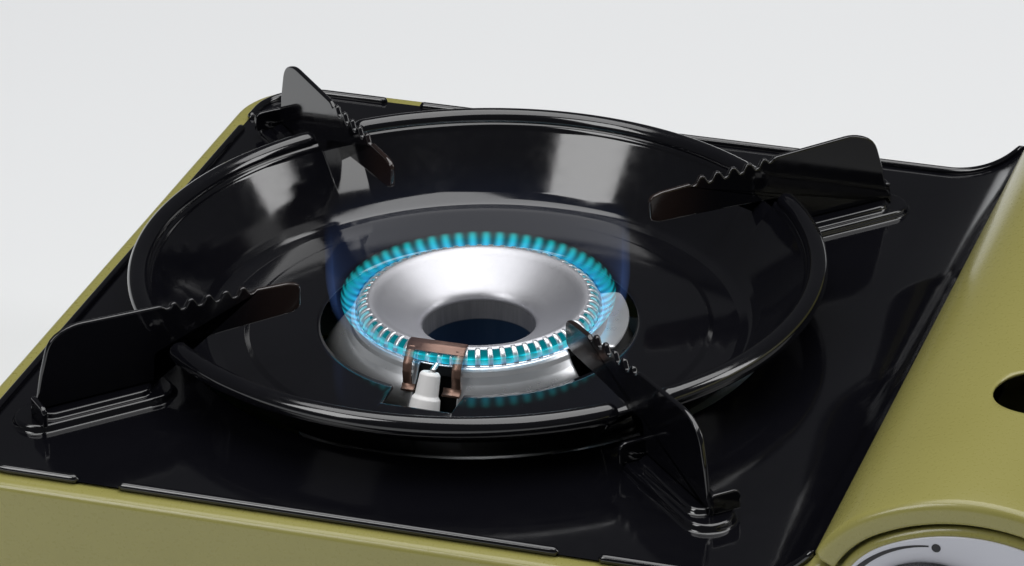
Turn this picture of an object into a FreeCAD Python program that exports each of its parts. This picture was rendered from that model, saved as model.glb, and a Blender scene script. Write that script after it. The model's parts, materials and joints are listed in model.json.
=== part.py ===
# Butane cassette stove with a deep wind-shield bowl
# Frame: the burner axis is Z, the table is z = 0, the knob side faces -Y
import FreeCAD, Part
import math
import os

V = FreeCAD.Vector
os.makedirs("parts", exist_ok=True)

# Driving dimensions in mm
SHEET = 0.9
BODY_X0 = -122.0
BODY_X1 = 219.0
BODY_Y0 = -137.0
BODY_Y1 = 139.0
BODY_R_LEFT = 25.0
BODY_R_RIGHT = 8.0
FOOT_H = 8.0
DECK_Z = 90.0
COVER_TOP = 129.0
HINGE_WALL_Z = 93.0

SWEEP_X = 113.5
SWEEP_R = 31.8
SWEEP_END_X = 139.4

ARCH_X = 184.0
ARCH_R = 62.0
ARCH_R_LEFT = 34.0
ARCH_R_RIGHT = 24.0
ARCH_JOIN_X = 154.0
COVER_LEFT_X = 140.0
COVER_FLANGE = 6.6
COVER_GAP = 1.0
COVER_FOOT_Z = 96.0

LEDGE = 10.0
PLATE_INSET = 6.0
PLATE_T = 0.8
BEAD_R = 1.3

RIM_R = 105.0
RIM_TUBE = 3.2
RIM_Z = 107.0
BOWL_T = 0.9
BOWL_HOLE_R = 48.0
RECESS_R = 90.0

SUPPORT_T = 1.6
SUPPORT_TOP = 119.3
PAD_TOP = 94.6
PAD_STEP = 93.0
SUPPORT_ANGLES = (45, 135, 225, 315)

CAP_R = 33.0
CAP_Z = 96.0
CAP_HOLE_R = 16.7
CAP_HOLE_Z = 86.4
SLOTS = 60
SLOT_W = 1.9
RING_R = 37.0
RING_Z = 91.6
BURNER_Z0 = 60.8
SHIELD_T = 0.8
STAND_X = 46.0
STAND_IN = 19.5
STAND_W = 22.0
STAND_T = 1.2
TUBE_Z = 70.0
TUBE_ANGLE = -38.0

CAN_X = 180.0
CAN_Z = 88.5
CAN_R = 33.5
CAN_FIT = 0.5
KNOB_X = 173.5
KNOB_Z = 86.5
KNOB_RING_R = 23.9
KNOB_R = 18.5
SHAFT_R = 3.0
RUN = 0.05
TURN_DEG = 115.0
STRIKE = 4.0
CAM_R = 6.4
CAM_GAP = 0.5
SCREW_R = 1.5
PIN_R = 1.2
EYE_R = 2.0
HINGE_IN = 2.0
HINGE_UP = 2.5
VENT = (186.0, -72.0, 12.5)
KNUCKLES = (-100.0, 102.0)

# Knob stack, front to back
FACE_Y = BODY_Y0 - PLATE_T
RING_Y = FACE_Y - 0.3
RING_DEPTH = 3.2
GRIP_DEPTH = 9.0
POINTER_T = 0.6
HEAD_T = 1.6

# The origin is the middle of the footprint, on the table
FRONT_Y = RING_Y - RING_DEPTH - GRIP_DEPTH - POINTER_T
MID_X = (BODY_X0 + BODY_X1) / 2
MID_Y = (FRONT_Y + BODY_Y1 + HEAD_T) / 2


def save(name, shape):
    """Write one node, moved from the burner frame to the origin under the middle."""
    placed = shape.copy()
    placed.translate(V(-MID_X, -MID_Y, 0))
    placed.exportStep("parts/" + name + ".step")


def box(x0, x1, y0, y1, z0, z1):
    return Part.makeBox(x1 - x0, y1 - y0, z1 - z0, V(x0, y0, z0))


def cyl(r, h, p, d):
    return Part.makeCylinder(r, h, V(*p), V(*d))


def wire(points):
    return Part.makePolygon([V(*p) for p in points] + [V(*points[0])])


def prism(points, move):
    return Part.Face(wire(points)).extrude(V(*move))


def fuse(shapes):
    out = shapes[0]
    if len(shapes) > 1:
        out = out.multiFuse(shapes[1:])
    return out.removeSplitter()


def turned(points):
    """Solid of revolution about Z from (radius, height) points."""
    face = Part.Face(wire([(r, 0, z) for r, z in points]))
    return face.revolve(V(0, 0, 0), V(0, 0, 1), 360)


def strip(points, t):
    """Outline of a bent sheet of thickness t whose upper side runs through the points."""
    low = []
    n = len(points)
    for i, (r, z) in enumerate(points):
        a = points[max(i - 1, 0)]
        b = points[min(i + 1, n - 1)]
        dx = b[0] - a[0]
        dz = b[1] - a[1]
        s = math.hypot(dx, dz)
        low.append((r + t * dz / s, z - t * dx / s))
    return list(points) + low[::-1]


def plan(inset, z0, z1):
    """The stove seen from above as a prism, drawn in by the inset."""
    x0 = BODY_X0 + inset
    x1 = BODY_X1 - inset
    y0 = BODY_Y0 + inset
    y1 = BODY_Y1 - inset
    rl = BODY_R_LEFT - inset
    rr = max(BODY_R_RIGHT - inset, 1.0)
    return rounded(x0, x1, y0, y1, rl, rr, z0, z1)


def rounded(x0, x1, y0, y1, rl, rr, z0, z1):
    body = box(x0, x1, y0, y1, z0, z1)
    left = []
    right = []
    for e in body.Edges:
        b = e.BoundBox
        if b.ZLength < (z1 - z0) * 0.99:
            continue
        if abs(b.XMin - x0) < 1e-6:
            left.append(e)
        else:
            right.append(e)
    if rl > 0.01:
        body = body.makeFillet(rl, left)
    if rr > 0.01:
        right = []
        for e in body.Edges:
            b = e.BoundBox
            if b.ZLength > (z1 - z0) * 0.99 and abs(b.XMin - x1) < 1e-6 and b.XLength < 1e-6:
                right.append(e)
        body = body.makeFillet(rr, right)
    return body


# The arch of the cartridge bay is three tangent arcs
def arch_data():
    cz = COVER_TOP - ARCH_R
    a_join = math.acos((ARCH_JOIN_X - ARCH_X) / ARCH_R)
    left = (ARCH_X + (ARCH_R - ARCH_R_LEFT) * math.cos(a_join), cz + (ARCH_R - ARCH_R_LEFT) * math.sin(a_join))
    a_left = math.acos((COVER_LEFT_X - left[0]) / ARCH_R_LEFT)
    right_x = BODY_X1 - ARCH_R_RIGHT
    a_right = math.acos((right_x - ARCH_X) / (ARCH_R - ARCH_R_RIGHT))
    right = (right_x, cz + (ARCH_R - ARCH_R_RIGHT) * math.sin(a_right))
    return [(left, ARCH_R_LEFT, a_left, a_join), ((ARCH_X, cz), ARCH_R, a_join, a_right), (right, ARCH_R_RIGHT, a_right, 0.0)]


ARCH = arch_data()
ARCH_FOOT_Z = ARCH[2][0][1]


def arch_point(i, a, d):
    c, r, a0, a1 = ARCH[i]
    return (c[0] + (r - d) * math.cos(a), c[1] + (r - d) * math.sin(a))


def arch_edges(d):
    """Edges of the arch drawn in by d, left to right, in the plane y = 0."""
    out = []
    for i, (c, r, a0, a1) in enumerate(ARCH):
        p = arch_point(i, a0, d)
        m = arch_point(i, (a0 + a1) / 2, d)
        q = arch_point(i, a1, d)
        out.append(Part.Arc(V(p[0], 0, p[1]), V(m[0], 0, m[1]), V(q[0], 0, q[1])).toShape())
    return out


def line(p, q):
    return Part.LineSegment(V(p[0], 0, p[1]), V(q[0], 0, q[1])).toShape()


def across(edges, y0=-200.0, y1=200.0):
    """Extrude a closed X-Z outline along Y."""
    face = Part.Face(Part.Wire(edges))
    face.translate(V(0, y0, 0))
    return face.extrude(V(0, y1 - y0, 0))


def sweep_z(x, r):
    return DECK_Z + SWEEP_R - math.sqrt(r * r - (x - SWEEP_X) ** 2)


def body_profile(t, z0):
    """Outline of the painted body in the X-Z plane, drawn in by t."""
    d = COVER_FLANGE + COVER_GAP + t
    r = SWEEP_R + t
    x3 = SWEEP_END_X - 0.3 * t
    p0 = (BODY_X0 + t, z0)
    p1 = (BODY_X0 + t, DECK_Z - t)
    p2 = (SWEEP_X, DECK_Z - t)
    xm = SWEEP_X + (x3 - SWEEP_X) * 0.6
    p3 = (x3, sweep_z(x3, r))
    p4 = arch_point(0, ARCH[0][2], d)
    p5 = arch_point(2, 0.0, d)
    p6 = (p5[0], HINGE_WALL_Z - t)
    p7 = (BODY_X1 - t, HINGE_WALL_Z - t)
    p8 = (BODY_X1 - t, z0)
    arc = Part.Arc(V(p2[0], 0, p2[1]), V(xm, 0, sweep_z(xm, r)), V(p3[0], 0, p3[1])).toShape()
    edges = [line(p0, p1), line(p1, p2), arc, line(p3, p4)] + arch_edges(d)
    edges += [line(p5, p6), line(p6, p7), line(p7, p8), line(p8, p0)]
    return edges


# Painted body: pressed walls, top ledge and the arched ends of the cartridge bay
outer = across(body_profile(0.0, FOOT_H)).common(plan(0.0, 0, 140))
inner = across(body_profile(SHEET, FOOT_H - 5)).common(plan(SHEET, 0, 140))
body = outer.cut(inner)
opening = rounded(BODY_X0 + LEDGE, BODY_X1 - 6.0, BODY_Y0 + LEDGE, BODY_Y1 - LEDGE, 15.0, 3.0, 60, 140)
body = body.cut(opening)
body = body.cut(cyl(SHAFT_R + 3.0, 20, (KNOB_X, BODY_Y0 - 5, KNOB_Z), (0, 1, 0)))
SIDE_SCREWS = []
for y in (-90.0, 90.0):
    SIDE_SCREWS.append(((BODY_X0, y, 14.0), (1, 0, 0)))
    SIDE_SCREWS.append(((BODY_X1, y, 14.0), (-1, 0, 0)))
for x in (-60.0, 160.0):
    SIDE_SCREWS.append(((x, BODY_Y1, 14.0), (0, -1, 0)))
    SIDE_SCREWS.append(((x, BODY_Y0, 14.0), (0, 1, 0)))
for p, d in SIDE_SCREWS:
    q = (p[0] - 2 * d[0], p[1] - 2 * d[1], p[2])
    body = body.cut(cyl(SCREW_R, 8, q, d))
for k in range(9):
    y = -88.0 + 22.0 * k
    slot = box(BODY_X0 - 3, BODY_X0 + 3, y - 7, y + 7, 30, 34)
    body = body.cut(slot)
save("body_shell", body)

# Bottom plate: a shallow tray inside the walls with vents
tray = plan(SHEET, FOOT_H, FOOT_H + 12).cut(plan(2 * SHEET, FOOT_H + SHEET, FOOT_H + 20))
FEET = [(BODY_X0 + 30, BODY_Y0 + 30), (BODY_X0 + 30, BODY_Y1 - 30), (BODY_X1 - 28, BODY_Y0 + 30), (BODY_X1 - 28, BODY_Y1 - 30)]
for x, y in FEET:
    tray = tray.cut(cyl(SCREW_R, 6, (x, y, FOOT_H - 2), (0, 0, 1)))
for p, d in SIDE_SCREWS:
    q = (p[0] - 2 * d[0], p[1] - 2 * d[1], p[2])
    tray = tray.cut(cyl(SCREW_R, 8, q, d))
for k in range(6):
    x = -75.0 + 30.0 * k
    tray = tray.cut(box(x - 3, x + 3, 60, 100, FOOT_H - 1, FOOT_H + 2))
    tray = tray.cut(box(x - 3, x + 3, -100, -60, FOOT_H - 1, FOOT_H + 2))
save("bottom_plate", tray)
FLOOR_Z = FOOT_H + SHEET

# Rubber feet with their screws
feet = []
screws = []
for x, y in FEET:
    foot = Part.makeCone(9.5, 11.0, FOOT_H, V(x, y, 0), V(0, 0, 1))
    foot = foot.cut(cyl(4.2, 3.5, (x, y, 0), (0, 0, 1)))
    foot = foot.cut(cyl(SCREW_R, 20, (x, y, 0), (0, 0, 1)))
    feet.append(foot)
    screw = cyl(3.4, 2.0, (x, y, 1.5), (0, 0, 1)).fuse(cyl(SCREW_R, FOOT_H + 2.5, (x, y, 2.0), (0, 0, 1)))
    screws.append(screw.removeSplitter())
save("rubber_feet", Part.makeCompound(feet))
save("foot_screws", Part.makeCompound(screws))

screws = []
for p, d in SIDE_SCREWS:
    head = cyl(3.2, HEAD_T, (p[0] - HEAD_T * d[0], p[1] - HEAD_T * d[1], p[2]), d)
    shank = cyl(SCREW_R, 6.0, (p[0] - 1.0 * d[0], p[1] - 1.0 * d[1], p[2]), d)
    screws.append(head.fuse(shank).removeSplitter())
save("body_screws", Part.makeCompound(screws))


def polar(r, a, z):
    return V(r * math.cos(math.radians(a)), r * math.sin(math.radians(a)), z)


def obround(r0, r1, half, z0, z1):
    """Rounded bar lying along +X from radius r0 to r1."""
    s = box(r0 + half, r1 - half, -half, half, z0, z1)
    s = s.fuse(cyl(half, z1 - z0, (r0 + half, 0, z0), (0, 0, 1)))
    s = s.fuse(cyl(half, z1 - z0, (r1 - half, 0, z0), (0, 0, 1)))
    return s.removeSplitter()


# Enamelled top plate with the rise towards the cover
PLATE_X0 = BODY_X0 + PLATE_INSET
PLATE_Y0 = BODY_Y0 + PLATE_INSET
PLATE_Y1 = BODY_Y1 - PLATE_INSET
ri = SWEEP_R - PLATE_T
xm = SWEEP_X + 15.0
e = SWEEP_END_X
low_arc = Part.Arc(V(SWEEP_X, 0, DECK_Z), V(xm, 0, sweep_z(xm, SWEEP_R)), V(e, 0, sweep_z(e, SWEEP_R))).toShape()
top_arc = Part.Arc(V(e, 0, sweep_z(e, ri)), V(xm, 0, sweep_z(xm, ri)), V(SWEEP_X, 0, DECK_Z + PLATE_T)).toShape()
section = [
    line((PLATE_X0 - 5, DECK_Z), (SWEEP_X, DECK_Z)),
    low_arc,
    line((e, sweep_z(e, SWEEP_R)), (e, sweep_z(e, ri))),
    top_arc,
    line((SWEEP_X, DECK_Z + PLATE_T), (PLATE_X0 - 5, DECK_Z + PLATE_T)),
    line((PLATE_X0 - 5, DECK_Z + PLATE_T), (PLATE_X0 - 5, DECK_Z)),
]
edge_in = PLATE_INSET + BEAD_R
sheet = across(section).common(rounded(BODY_X0 + edge_in, 180, BODY_Y0 + edge_in, BODY_Y1 - edge_in, BODY_R_LEFT - edge_in, 0, 60, 140))
bz = DECK_Z + BEAD_R
br = SWEEP_R - BEAD_R
bx = BODY_X0 + edge_in
by0 = BODY_Y0 + edge_in
by1 = BODY_Y1 - edge_in
bc = BODY_R_LEFT - edge_in
k = math.sqrt(0.5)
xe = e - 0.8


def sweep_arc(y, flip):
    p = V(xe, y, sweep_z(xe, br))
    m = V(xm, y, sweep_z(xm, br))
    q = V(SWEEP_X, y, bz)
    return Part.Arc(q, m, p).toShape() if flip else Part.Arc(p, m, q).toShape()


path = Part.Wire([
    sweep_arc(by0, False),
    Part.LineSegment(V(SWEEP_X, by0, bz), V(bx + bc, by0, bz)).toShape(),
    Part.Arc(V(bx + bc, by0, bz), V(bx + bc - bc * k, by0 + bc - bc * k, bz), V(bx, by0 + bc, bz)).toShape(),
    Part.LineSegment(V(bx, by0 + bc, bz), V(bx, by1 - bc, bz)).toShape(),
    Part.Arc(V(bx, by1 - bc, bz), V(bx + bc - bc * k, by1 - bc + bc * k, bz), V(bx + bc, by1, bz)).toShape(),
    Part.LineSegment(V(bx + bc, by1, bz), V(SWEEP_X, by1, bz)).toShape(),
    sweep_arc(by1, True),
])
start = V(xe, by0, sweep_z(xe, br))
slope = V(-(br * br - (xe - SWEEP_X) ** 2) ** 0.5, 0, -(xe - SWEEP_X))
ring = Part.Wire([Part.Circle(start, slope, BEAD_R).toShape()])
bead = path.makePipeShell([ring], True, False)
plate = sheet.fuse(bead)
plate = plate.cut(cyl(RECESS_R, 40, (0, 0, 70), (0, 0, 1)))
collar = cyl(RECESS_R + PLATE_T, 4.4, (0, 0, DECK_Z + PLATE_T - 4.4), (0, 0, 1))
collar = collar.cut(cyl(RECESS_R, 6, (0, 0, 85), (0, 0, 1)))
adds = [collar]
cuts = []
for a in SUPPORT_ANGLES:
    low = obround(100.5, 149.5, 7.6, DECK_Z + 0.1, PAD_STEP)
    high = obround(107.3, 142.7, 4.8, DECK_Z + 0.1, PAD_TOP)
    under = obround(101.3, 148.7, 6.8, DECK_Z - 1, PAD_STEP - PLATE_T)
    under2 = obround(108.1, 141.9, 4.0, DECK_Z - 1, PAD_TOP - PLATE_T)
    for s, dest in ((low, adds), (high, adds), (under, cuts), (under2, cuts)):
        s.rotate(V(0, 0, 0), V(0, 0, 1), a)
        dest.append(s)
plate = plate.multiFuse(adds)
plate = plate.cut(Part.makeCompound([cuts[0], cuts[2], cuts[4], cuts[6]]))
plate = plate.cut(Part.makeCompound([cuts[1], cuts[3], cuts[5], cuts[7]]))
for x in (-70.0, 72.0):
    plate = plate.cut(box(x - 5.5, x + 5.5, PLATE_Y0 - 1, PLATE_Y0 + 1.5, DECK_Z + 0.0, DECK_Z + 5))
    plate = plate.cut(box(x - 5.5, x + 5.5, PLATE_Y1 - 1.5, PLATE_Y1 + 1, DECK_Z + 0.0, DECK_Z + 5))
save("top_plate", plate.removeSplitter())

# Wall between burner and cartridge bay
pw = 141.2
wall = box(pw, pw + SHEET, BODY_Y0 + LEDGE + 0.5, BODY_Y1 - LEDGE - 0.5, FLOOR_Z, 101.5)
foot = box(pw, pw + 8, BODY_Y0 + LEDGE + 0.5, BODY_Y1 - LEDGE - 0.5, FLOOR_Z, FLOOR_Z + SHEET)
wall = wall.fuse(foot)
c38 = math.cos(math.radians(TUBE_ANGLE))
s38 = math.sin(math.radians(TUBE_ANGLE))
hole_s = pw / c38
wall = wall.cut(cyl(8.0, 30, ((hole_s - 15) * c38, (hole_s - 15) * s38, TUBE_Z), (c38, s38, 0)))
for y in (-60.0, -20.0, 20.0, 60.0, 100.0):
    wall = wall.cut(box(pw - 2, pw + 3, y - 12, y + 12, 20, 26))
save("bay_wall", wall.removeSplitter())

# Deep wind-shield bowl that catches drips
tc = RIM_R - RIM_TUBE
roll = []
for i in range(15):
    a = math.radians(180.0 - 22.5 * i)
    roll.append((tc + RIM_TUBE * math.cos(a), RIM_Z + RIM_TUBE * math.sin(a)))
low_wall = (84.6, 88.9)
floor = [(BOWL_HOLE_R, 88.0), (69.3, 87.2), (70.6, 86.6), (78.6, 86.2), (81.6, 86.7), (83.4, 87.6)]
path_pts = floor + [low_wall, (97.6, 104.7)] + roll
bowl = turned(strip(path_pts, BOWL_T))
bowl = bowl.cut(box(-11, 11, -58, -40, 80, 92))
notch_z = 104.6
for a in SUPPORT_ANGLES:
    n = box(92, 110, -6.5, 6.5, notch_z, 115)
    n.rotate(V(0, 0, 0), V(0, 0, 1), a)
    bowl = bowl.cut(n)
bowl = max(bowl.Solids, key=lambda s: s.Volume)
save("drip_bowl", bowl)


def support():
    """One pot support standing along +X."""
    h = SUPPORT_T / 2
    pts = [(61.5, 106.2), (59.4, 107.4), (58.4, 109.6), (58.5, 112.4), (59.8, 114.6), (62.4, 115.6), (72.6, 116.2)]
    for i in range(5):
        r = 72.6 + 5.5 * i
        z = 115.6 + 0.14 * i
        pts += [(r + 1.3, z), (r + 2.2, z + 0.2), (r + 3.4, z + 2.2), (r + 4.6, z + 2.3)]
    pts += [(100.5, 117.2), (102.0, 118.6), (129.0, SUPPORT_TOP), (134.2, 118.2), (137.8, 115.2), (140.0, 110.6)]
    pts += [(141.4, 103.0), (142.8, 97.5), (144.5, 96.0), (144.5, PAD_STEP), (142.9, PAD_STEP), (142.9, PAD_TOP)]
    pts += [(107.1, PAD_TOP), (107.1, PAD_STEP), (105.5, PAD_STEP), (105.5, notch_z), (98.0, notch_z), (90.0, 105.2)]
    plate_ = prism([(r, -h, z) for r, z in pts], (0, SUPPORT_T, 0))
    inner_tab = box(105.5, 107.1, -h - 8.2, h, PAD_STEP, 99.6)
    outer_tab = box(142.9, 144.5, -h, h + 8.4, PAD_STEP, 99.4)
    tips = []
    for tab, y in ((inner_tab, -h - 8.2), (outer_tab, h + 8.4)):
        es = [q for q in tab.Edges if q.BoundBox.XLength > 1.5 and abs(q.BoundBox.YMin - y) < 0.01 and q.BoundBox.ZMin > 98]
        tips.append(tab.makeFillet(2.0, es))
    return fuse([plate_] + tips)


one = support()
for i, a in enumerate(SUPPORT_ANGLES):
    s = one.copy()
    s.rotate(V(0, 0, 0), V(0, 0, 1), a)
    save("pot_support_" + str(i + 1), s)

# Burner: pot, inner tube, slotted ring, dished cap and skirt
wall_r = 31.0
pot = turned([
    (17.7, BURNER_Z0), (wall_r, BURNER_Z0), (wall_r, 88.0), (RING_R + 0.3, 88.0), (RING_R + 0.3, RING_Z - 0.6),
    (RING_R - 0.9, RING_Z - 0.6), (RING_R - 0.9, 89.0), (wall_r - 1.0, 89.0), (wall_r - 1.0, BURNER_Z0 + 1.0), (17.7, BURNER_Z0 + 1.0),
])
inlet = cyl(8.0, 20, (20 * c38, 20 * s38, TUBE_Z), (c38, s38, 0))
pot = pot.cut(inlet)
save("burner_inner_tube", turned([(CAP_HOLE_R, BURNER_Z0), (17.7, BURNER_Z0), (17.7, CAP_HOLE_Z - 1.0), (CAP_HOLE_R, CAP_HOLE_Z - 1.0)]))
cap_line = [(CAP_HOLE_R, CAP_HOLE_Z - 0.1), (17.5, 87.4), (19.4, 88.9), (24.0, 91.5), (29.0, 94.3), (31.4, 95.6), (CAP_R - 0.5, CAP_Z), (CAP_R, CAP_Z - 0.3)]
cap = turned(strip(cap_line, 0.9))
save("burner_cap", cap)

ring = turned([(CAP_R - 0.3, CAP_Z - 1.3), (CAP_R + 0.5, CAP_Z - 0.5), (RING_R + 0.3, RING_Z), (RING_R + 0.3, RING_Z - 0.6), (RING_R - 0.9, RING_Z - 0.6)])
ring = ring.cut(cap)
slots = []
mid_r = (CAP_R + RING_R) / 2 + 0.2
mid_z = (CAP_Z + RING_Z) / 2 - 0.3
for i in range(SLOTS):
    s = box(-1.9, 1.9, -SLOT_W / 2, SLOT_W / 2, -3, 3)
    s.rotate(V(0, 0, 0), V(0, 1, 0), 45)
    s.translate(V(mid_r, 0, mid_z))
    s.rotate(V(0, 0, 0), V(0, 0, 1), 360.0 * (i + 0.5) / SLOTS)
    slots.append(s)
ring = ring.cut(Part.makeCompound(slots))
save("burner_port_ring", ring)

skirt_line = [(RING_R + 0.35, RING_Z), (37.9, 91.2), (38.5, 90.4), (38.9, 89.2), (40.2, 87.0), (47.0, 78.4)]
skirt = turned(strip(skirt_line, -0.7))


def wedge(a0, a1, r, z0, z1):
    pts = [V(0, 0, z0)]
    n = 8
    for i in range(n + 1):
        pts.append(polar(r, a0 + (a1 - a0) * i / n, z0))
    return Part.Face(Part.makePolygon(pts + [pts[0]])).extrude(V(0, 0, z1 - z0))


skirt = skirt.cut(wedge(-37.0, -13.0, 60, 70, 91.0))
skirt = skirt.cut(box(-6.2, 6.6, -60, -38.0, 70, 90.0))
skirt = max(skirt.Solids, key=lambda s: s.Volume)
save("burner_skirt", skirt)

lug = turned([(37.9, 88.0), (45.5, 88.0), (45.5, 88.9), (37.9, 88.9)]).common(wedge(-12.0, 39.0, 60, 80, 95))
lug = lug.cut(Part.makeCone(38.9 + 0.75, 38.9, 1.3, V(0, 0, 87.9), V(0, 0, 1))).cut(skirt).cut(pot)
lug = max(lug.Solids, key=lambda s: s.Volume)
save("burner_lug", lug)

# Spark electrode in its ceramic and the bracket it jumps to
cer = Part.makeCone(4.4, 2.6, 22.0, V(-0.6, -51.0, 71.0), V(0.03, 0.385, 1.0))
ax = V(0.03, 0.385, 1.0)
ax.normalize()
cbase = V(-0.6, -51.0, 71.0)
cer = cer.cut(Part.makeCylinder(0.9, 30.0, cbase - ax * 2, ax))
save("igniter_ceramic", cer)
tip_a = cbase + ax * 4
tip_b = cbase + ax * 23.0
tip_c = V(tip_b.x + 0.3, tip_b.y + 2.6, tip_b.z + 0.6)
rod = Part.makeCylinder(0.9, 19.4, tip_a, ax)
nose = Part.makeCylinder(0.9, (tip_c - tip_b).Length, tip_b, tip_c - tip_b)
ball = Part.makeSphere(0.9, tip_b)
save("igniter_tip", fuse([rod, ball, nose]))

leg_line = [(-33.6, 97.1), (-36.4, 96.4), (-40.4, 92.6), (-41.2, 90.4), (-41.4, 84.6)]
leg_pts = strip(leg_line, 0.8)
legs = []
for x0 in (-9.6, 6.4):
    legs.append(prism([(x0, y, z) for y, z in leg_pts], (3.0, 0, 0)))
bar_pts = strip(leg_line[:2], 0.8)
legs.append(prism([(-9.6, y, z) for y, z in bar_pts], (19.0, 0, 0)))
legs.append(box(-9.6, -4.6, -41.4, -40.6, 84.6, 86.2).fuse(box(1.8, 9.4, -41.4, -40.6, 84.6, 86.4)))
bracket = fuse(legs)
bracket = bracket.cut(skirt).cut(ring).cut(cap)
bracket = max(bracket.Solids, key=lambda s: s.Volume)
save("spark_bracket", bracket)

# Stand under the burner and the heat shield
shield = cyl(58, SHIELD_T, (0, 0, BURNER_Z0 - SHIELD_T), (0, 0, 1)).cut(cyl(CAP_HOLE_R, 4, (0, 0, BURNER_Z0 - 2), (0, 0, 1)))
stand_top = BURNER_Z0 - SHIELD_T
stand = []
for side in (-1, 1):
    top_flange = box(STAND_IN, STAND_X, -STAND_W, STAND_W, stand_top - STAND_T, stand_top)
    leg = box(STAND_X - STAND_T, STAND_X, -STAND_W, STAND_W, FLOOR_Z, stand_top)
    foot_flange = box(STAND_X - STAND_T, STAND_X + 12.0, -STAND_W, STAND_W, FLOOR_Z, FLOOR_Z + STAND_T)
    bracket_ = fuse([top_flange, leg, foot_flange])
    if side < 0:
        bracket_.rotate(V(0, 0, 0), V(0, 0, 1), 180)
    stand.append(bracket_.removeSplitter())
bolts = []
for x in (-24.0, 24.0):
    hole = cyl(SCREW_R, 10, (x, 0, stand_top - 4), (0, 0, 1))
    shield = shield.cut(hole)
    stand = [b.cut(hole) for b in stand]
    head = cyl(3.0, 2.0, (x, 0, stand_top - 3.2), (0, 0, 1))
    bolts.append(head.fuse(cyl(SCREW_R, 4.0, (x, 0, stand_top - 2.0), (0, 0, 1))).removeSplitter())
pot = pot.cut(Part.makeCompound([cyl(SCREW_R, 10, (x, 0, stand_top - 4), (0, 0, 1)) for x in (-24.0, 24.0)]))
save("burner_pot", pot)
save("heat_shield", shield)
save("burner_stand", Part.makeCompound(stand))
save("burner_bolts", Part.makeCompound(bolts))

# Ceramic holder on the shield
clip = box(-7.5, 6.5, -56.5, -45.5, stand_top + 0.8, 72.5)
clip = clip.cut(Part.makeCone(4.4, 2.6, 22.0, cbase, ax)).cut(Part.makeCylinder(2.0, 14, cbase - ax * 12, ax))
save("igniter_holder", max(clip.removeSplitter().Solids, key=lambda s: s.Volume))


def along(pts, s0):
    """Turned part on the mixing axis, from (distance, radius) points."""
    f = Part.Face(wire([(r, 0, s) for s, r in pts]))
    t = f.revolve(V(0, 0, 0), V(0, 0, 1), 360)
    t.rotate(V(0, 0, 0), V(0, 1, 0), 90)
    t.rotate(V(0, 0, 0), V(0, 0, 1), TUBE_ANGLE)
    t.translate(V(s0 * c38, s0 * s38, TUBE_Z))
    return t


# Mixing tube, brass jet and holder on one axis
tube_end = 148.0
tube = along([(27.0, 7.0), (62.0, 7.0), (112.0, 5.2), (130.0, 5.2), (145.0, 8.4), (tube_end, 8.6), (tube_end, 9.6), (144.0, 9.4), (130.0, 6.2), (112.0, 6.2), (62.0, 8.0), (27.0, 8.0)], 0)
tube = tube.cut(cyl(wall_r - 1.0, 40, (0, 0, 60), (0, 0, 1)))
save("mixing_tube", tube)
jet = along([(150.0, 0.8), (156.0, 0.8), (156.0, 1.8), (162.0, 1.8), (162.0, 4.0), (154.0, 4.0), (150.0, 2.2)], 0)
save("gas_jet", jet)
holder_end = 189.0
holder = along([(156.0, 4.0), (162.0, 4.0), (162.0, 1.8), (holder_end, 1.8), (holder_end, 5.5), (156.0, 5.5)], 0)
shutter = along([(144.8, 9.7), (144.8, 10.6), (159.0, 10.6), (159.0, 5.5), (158.0, 5.5), (158.0, 9.7)], 0)
for a in (0, 120, 240):
    w = box(149.5, 156.5, -3.5, 3.5, 5, 14)
    w.rotate(V(0, 0, 0), V(1, 0, 0), a)
    w.rotate(V(0, 0, 0), V(0, 0, 1), TUBE_ANGLE)
    w.translate(V(0, 0, TUBE_Z))
    shutter = shutter.cut(w)
save("air_collar", shutter)

# Pressure regulator behind the knob
reg = box(150, 200, -128, -104, 64, 106)
reg = reg.makeFillet(3.0, [q for q in reg.Edges if q.BoundBox.YLength > 20])
reg_cyl = cyl(15.0, 6, (CAN_X, -104, CAN_Z), (0, 1, 0))
reg = reg.fuse(reg_cyl)
reg = reg.cut(cyl(SHAFT_R + RUN, 8, (KNOB_X, -129, KNOB_Z), (0, 1, 0)))
reg = reg.cut(cyl(2.0 + RUN, 16, (KNOB_X, -122, KNOB_Z), (0, 1, 0)))
reg = reg.cut(cyl(3.5, 18, (CAN_X, -114, CAN_Z), (0, 1, 0)))
reg = reg.cut(holder.copy())
reg_solid = reg.cut(along([(180.0, 5.5), (holder_end, 5.5), (holder_end, 0.0), (180.0, 0.0)], 0))
reg = max(reg_solid.Solids, key=lambda s: s.Volume)
save("regulator_body", reg.removeSplitter())
holder = holder.cut(reg)
save("jet_holder", max(holder.Solids, key=lambda s: s.Volume))
dome = cyl(13.0, 5.0, (186.0, -116.0, 64.0), (0, 0, -1)).fuse(cyl(10.5, 3.0, (186.0, -116.0, 59.0), (0, 0, -1)))
save("governor_cap", dome.removeSplitter())
seat = cyl(24.0, 3.0, (CAN_X, -98, CAN_Z), (0, 1, 0)).cut(cyl(9.0, 8, (CAN_X, -100, CAN_Z), (0, 1, 0)))
seat = seat.cut(box(CAN_X - 2.6, CAN_X + 2.6, -99, -94, CAN_Z + 16, CAN_Z + 26))
mags = []
for dx in (-1, 1):
    hole = cyl(3.5, 2.0, (CAN_X + dx * 16.0, -97.0, CAN_Z), (0, 1, 0))
    seat = seat.cut(hole)
    mags.append(hole)
save("cartridge_seat", seat)
save("seat_magnets", Part.makeCompound(mags))
stub = cyl(3.5, 20.0, (CAN_X, -114.0, CAN_Z), (0, 1, 0)).cut(cyl(1.2, 22, (CAN_X, -115, CAN_Z), (0, 1, 0)))
save("inlet_stub", stub)

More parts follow.
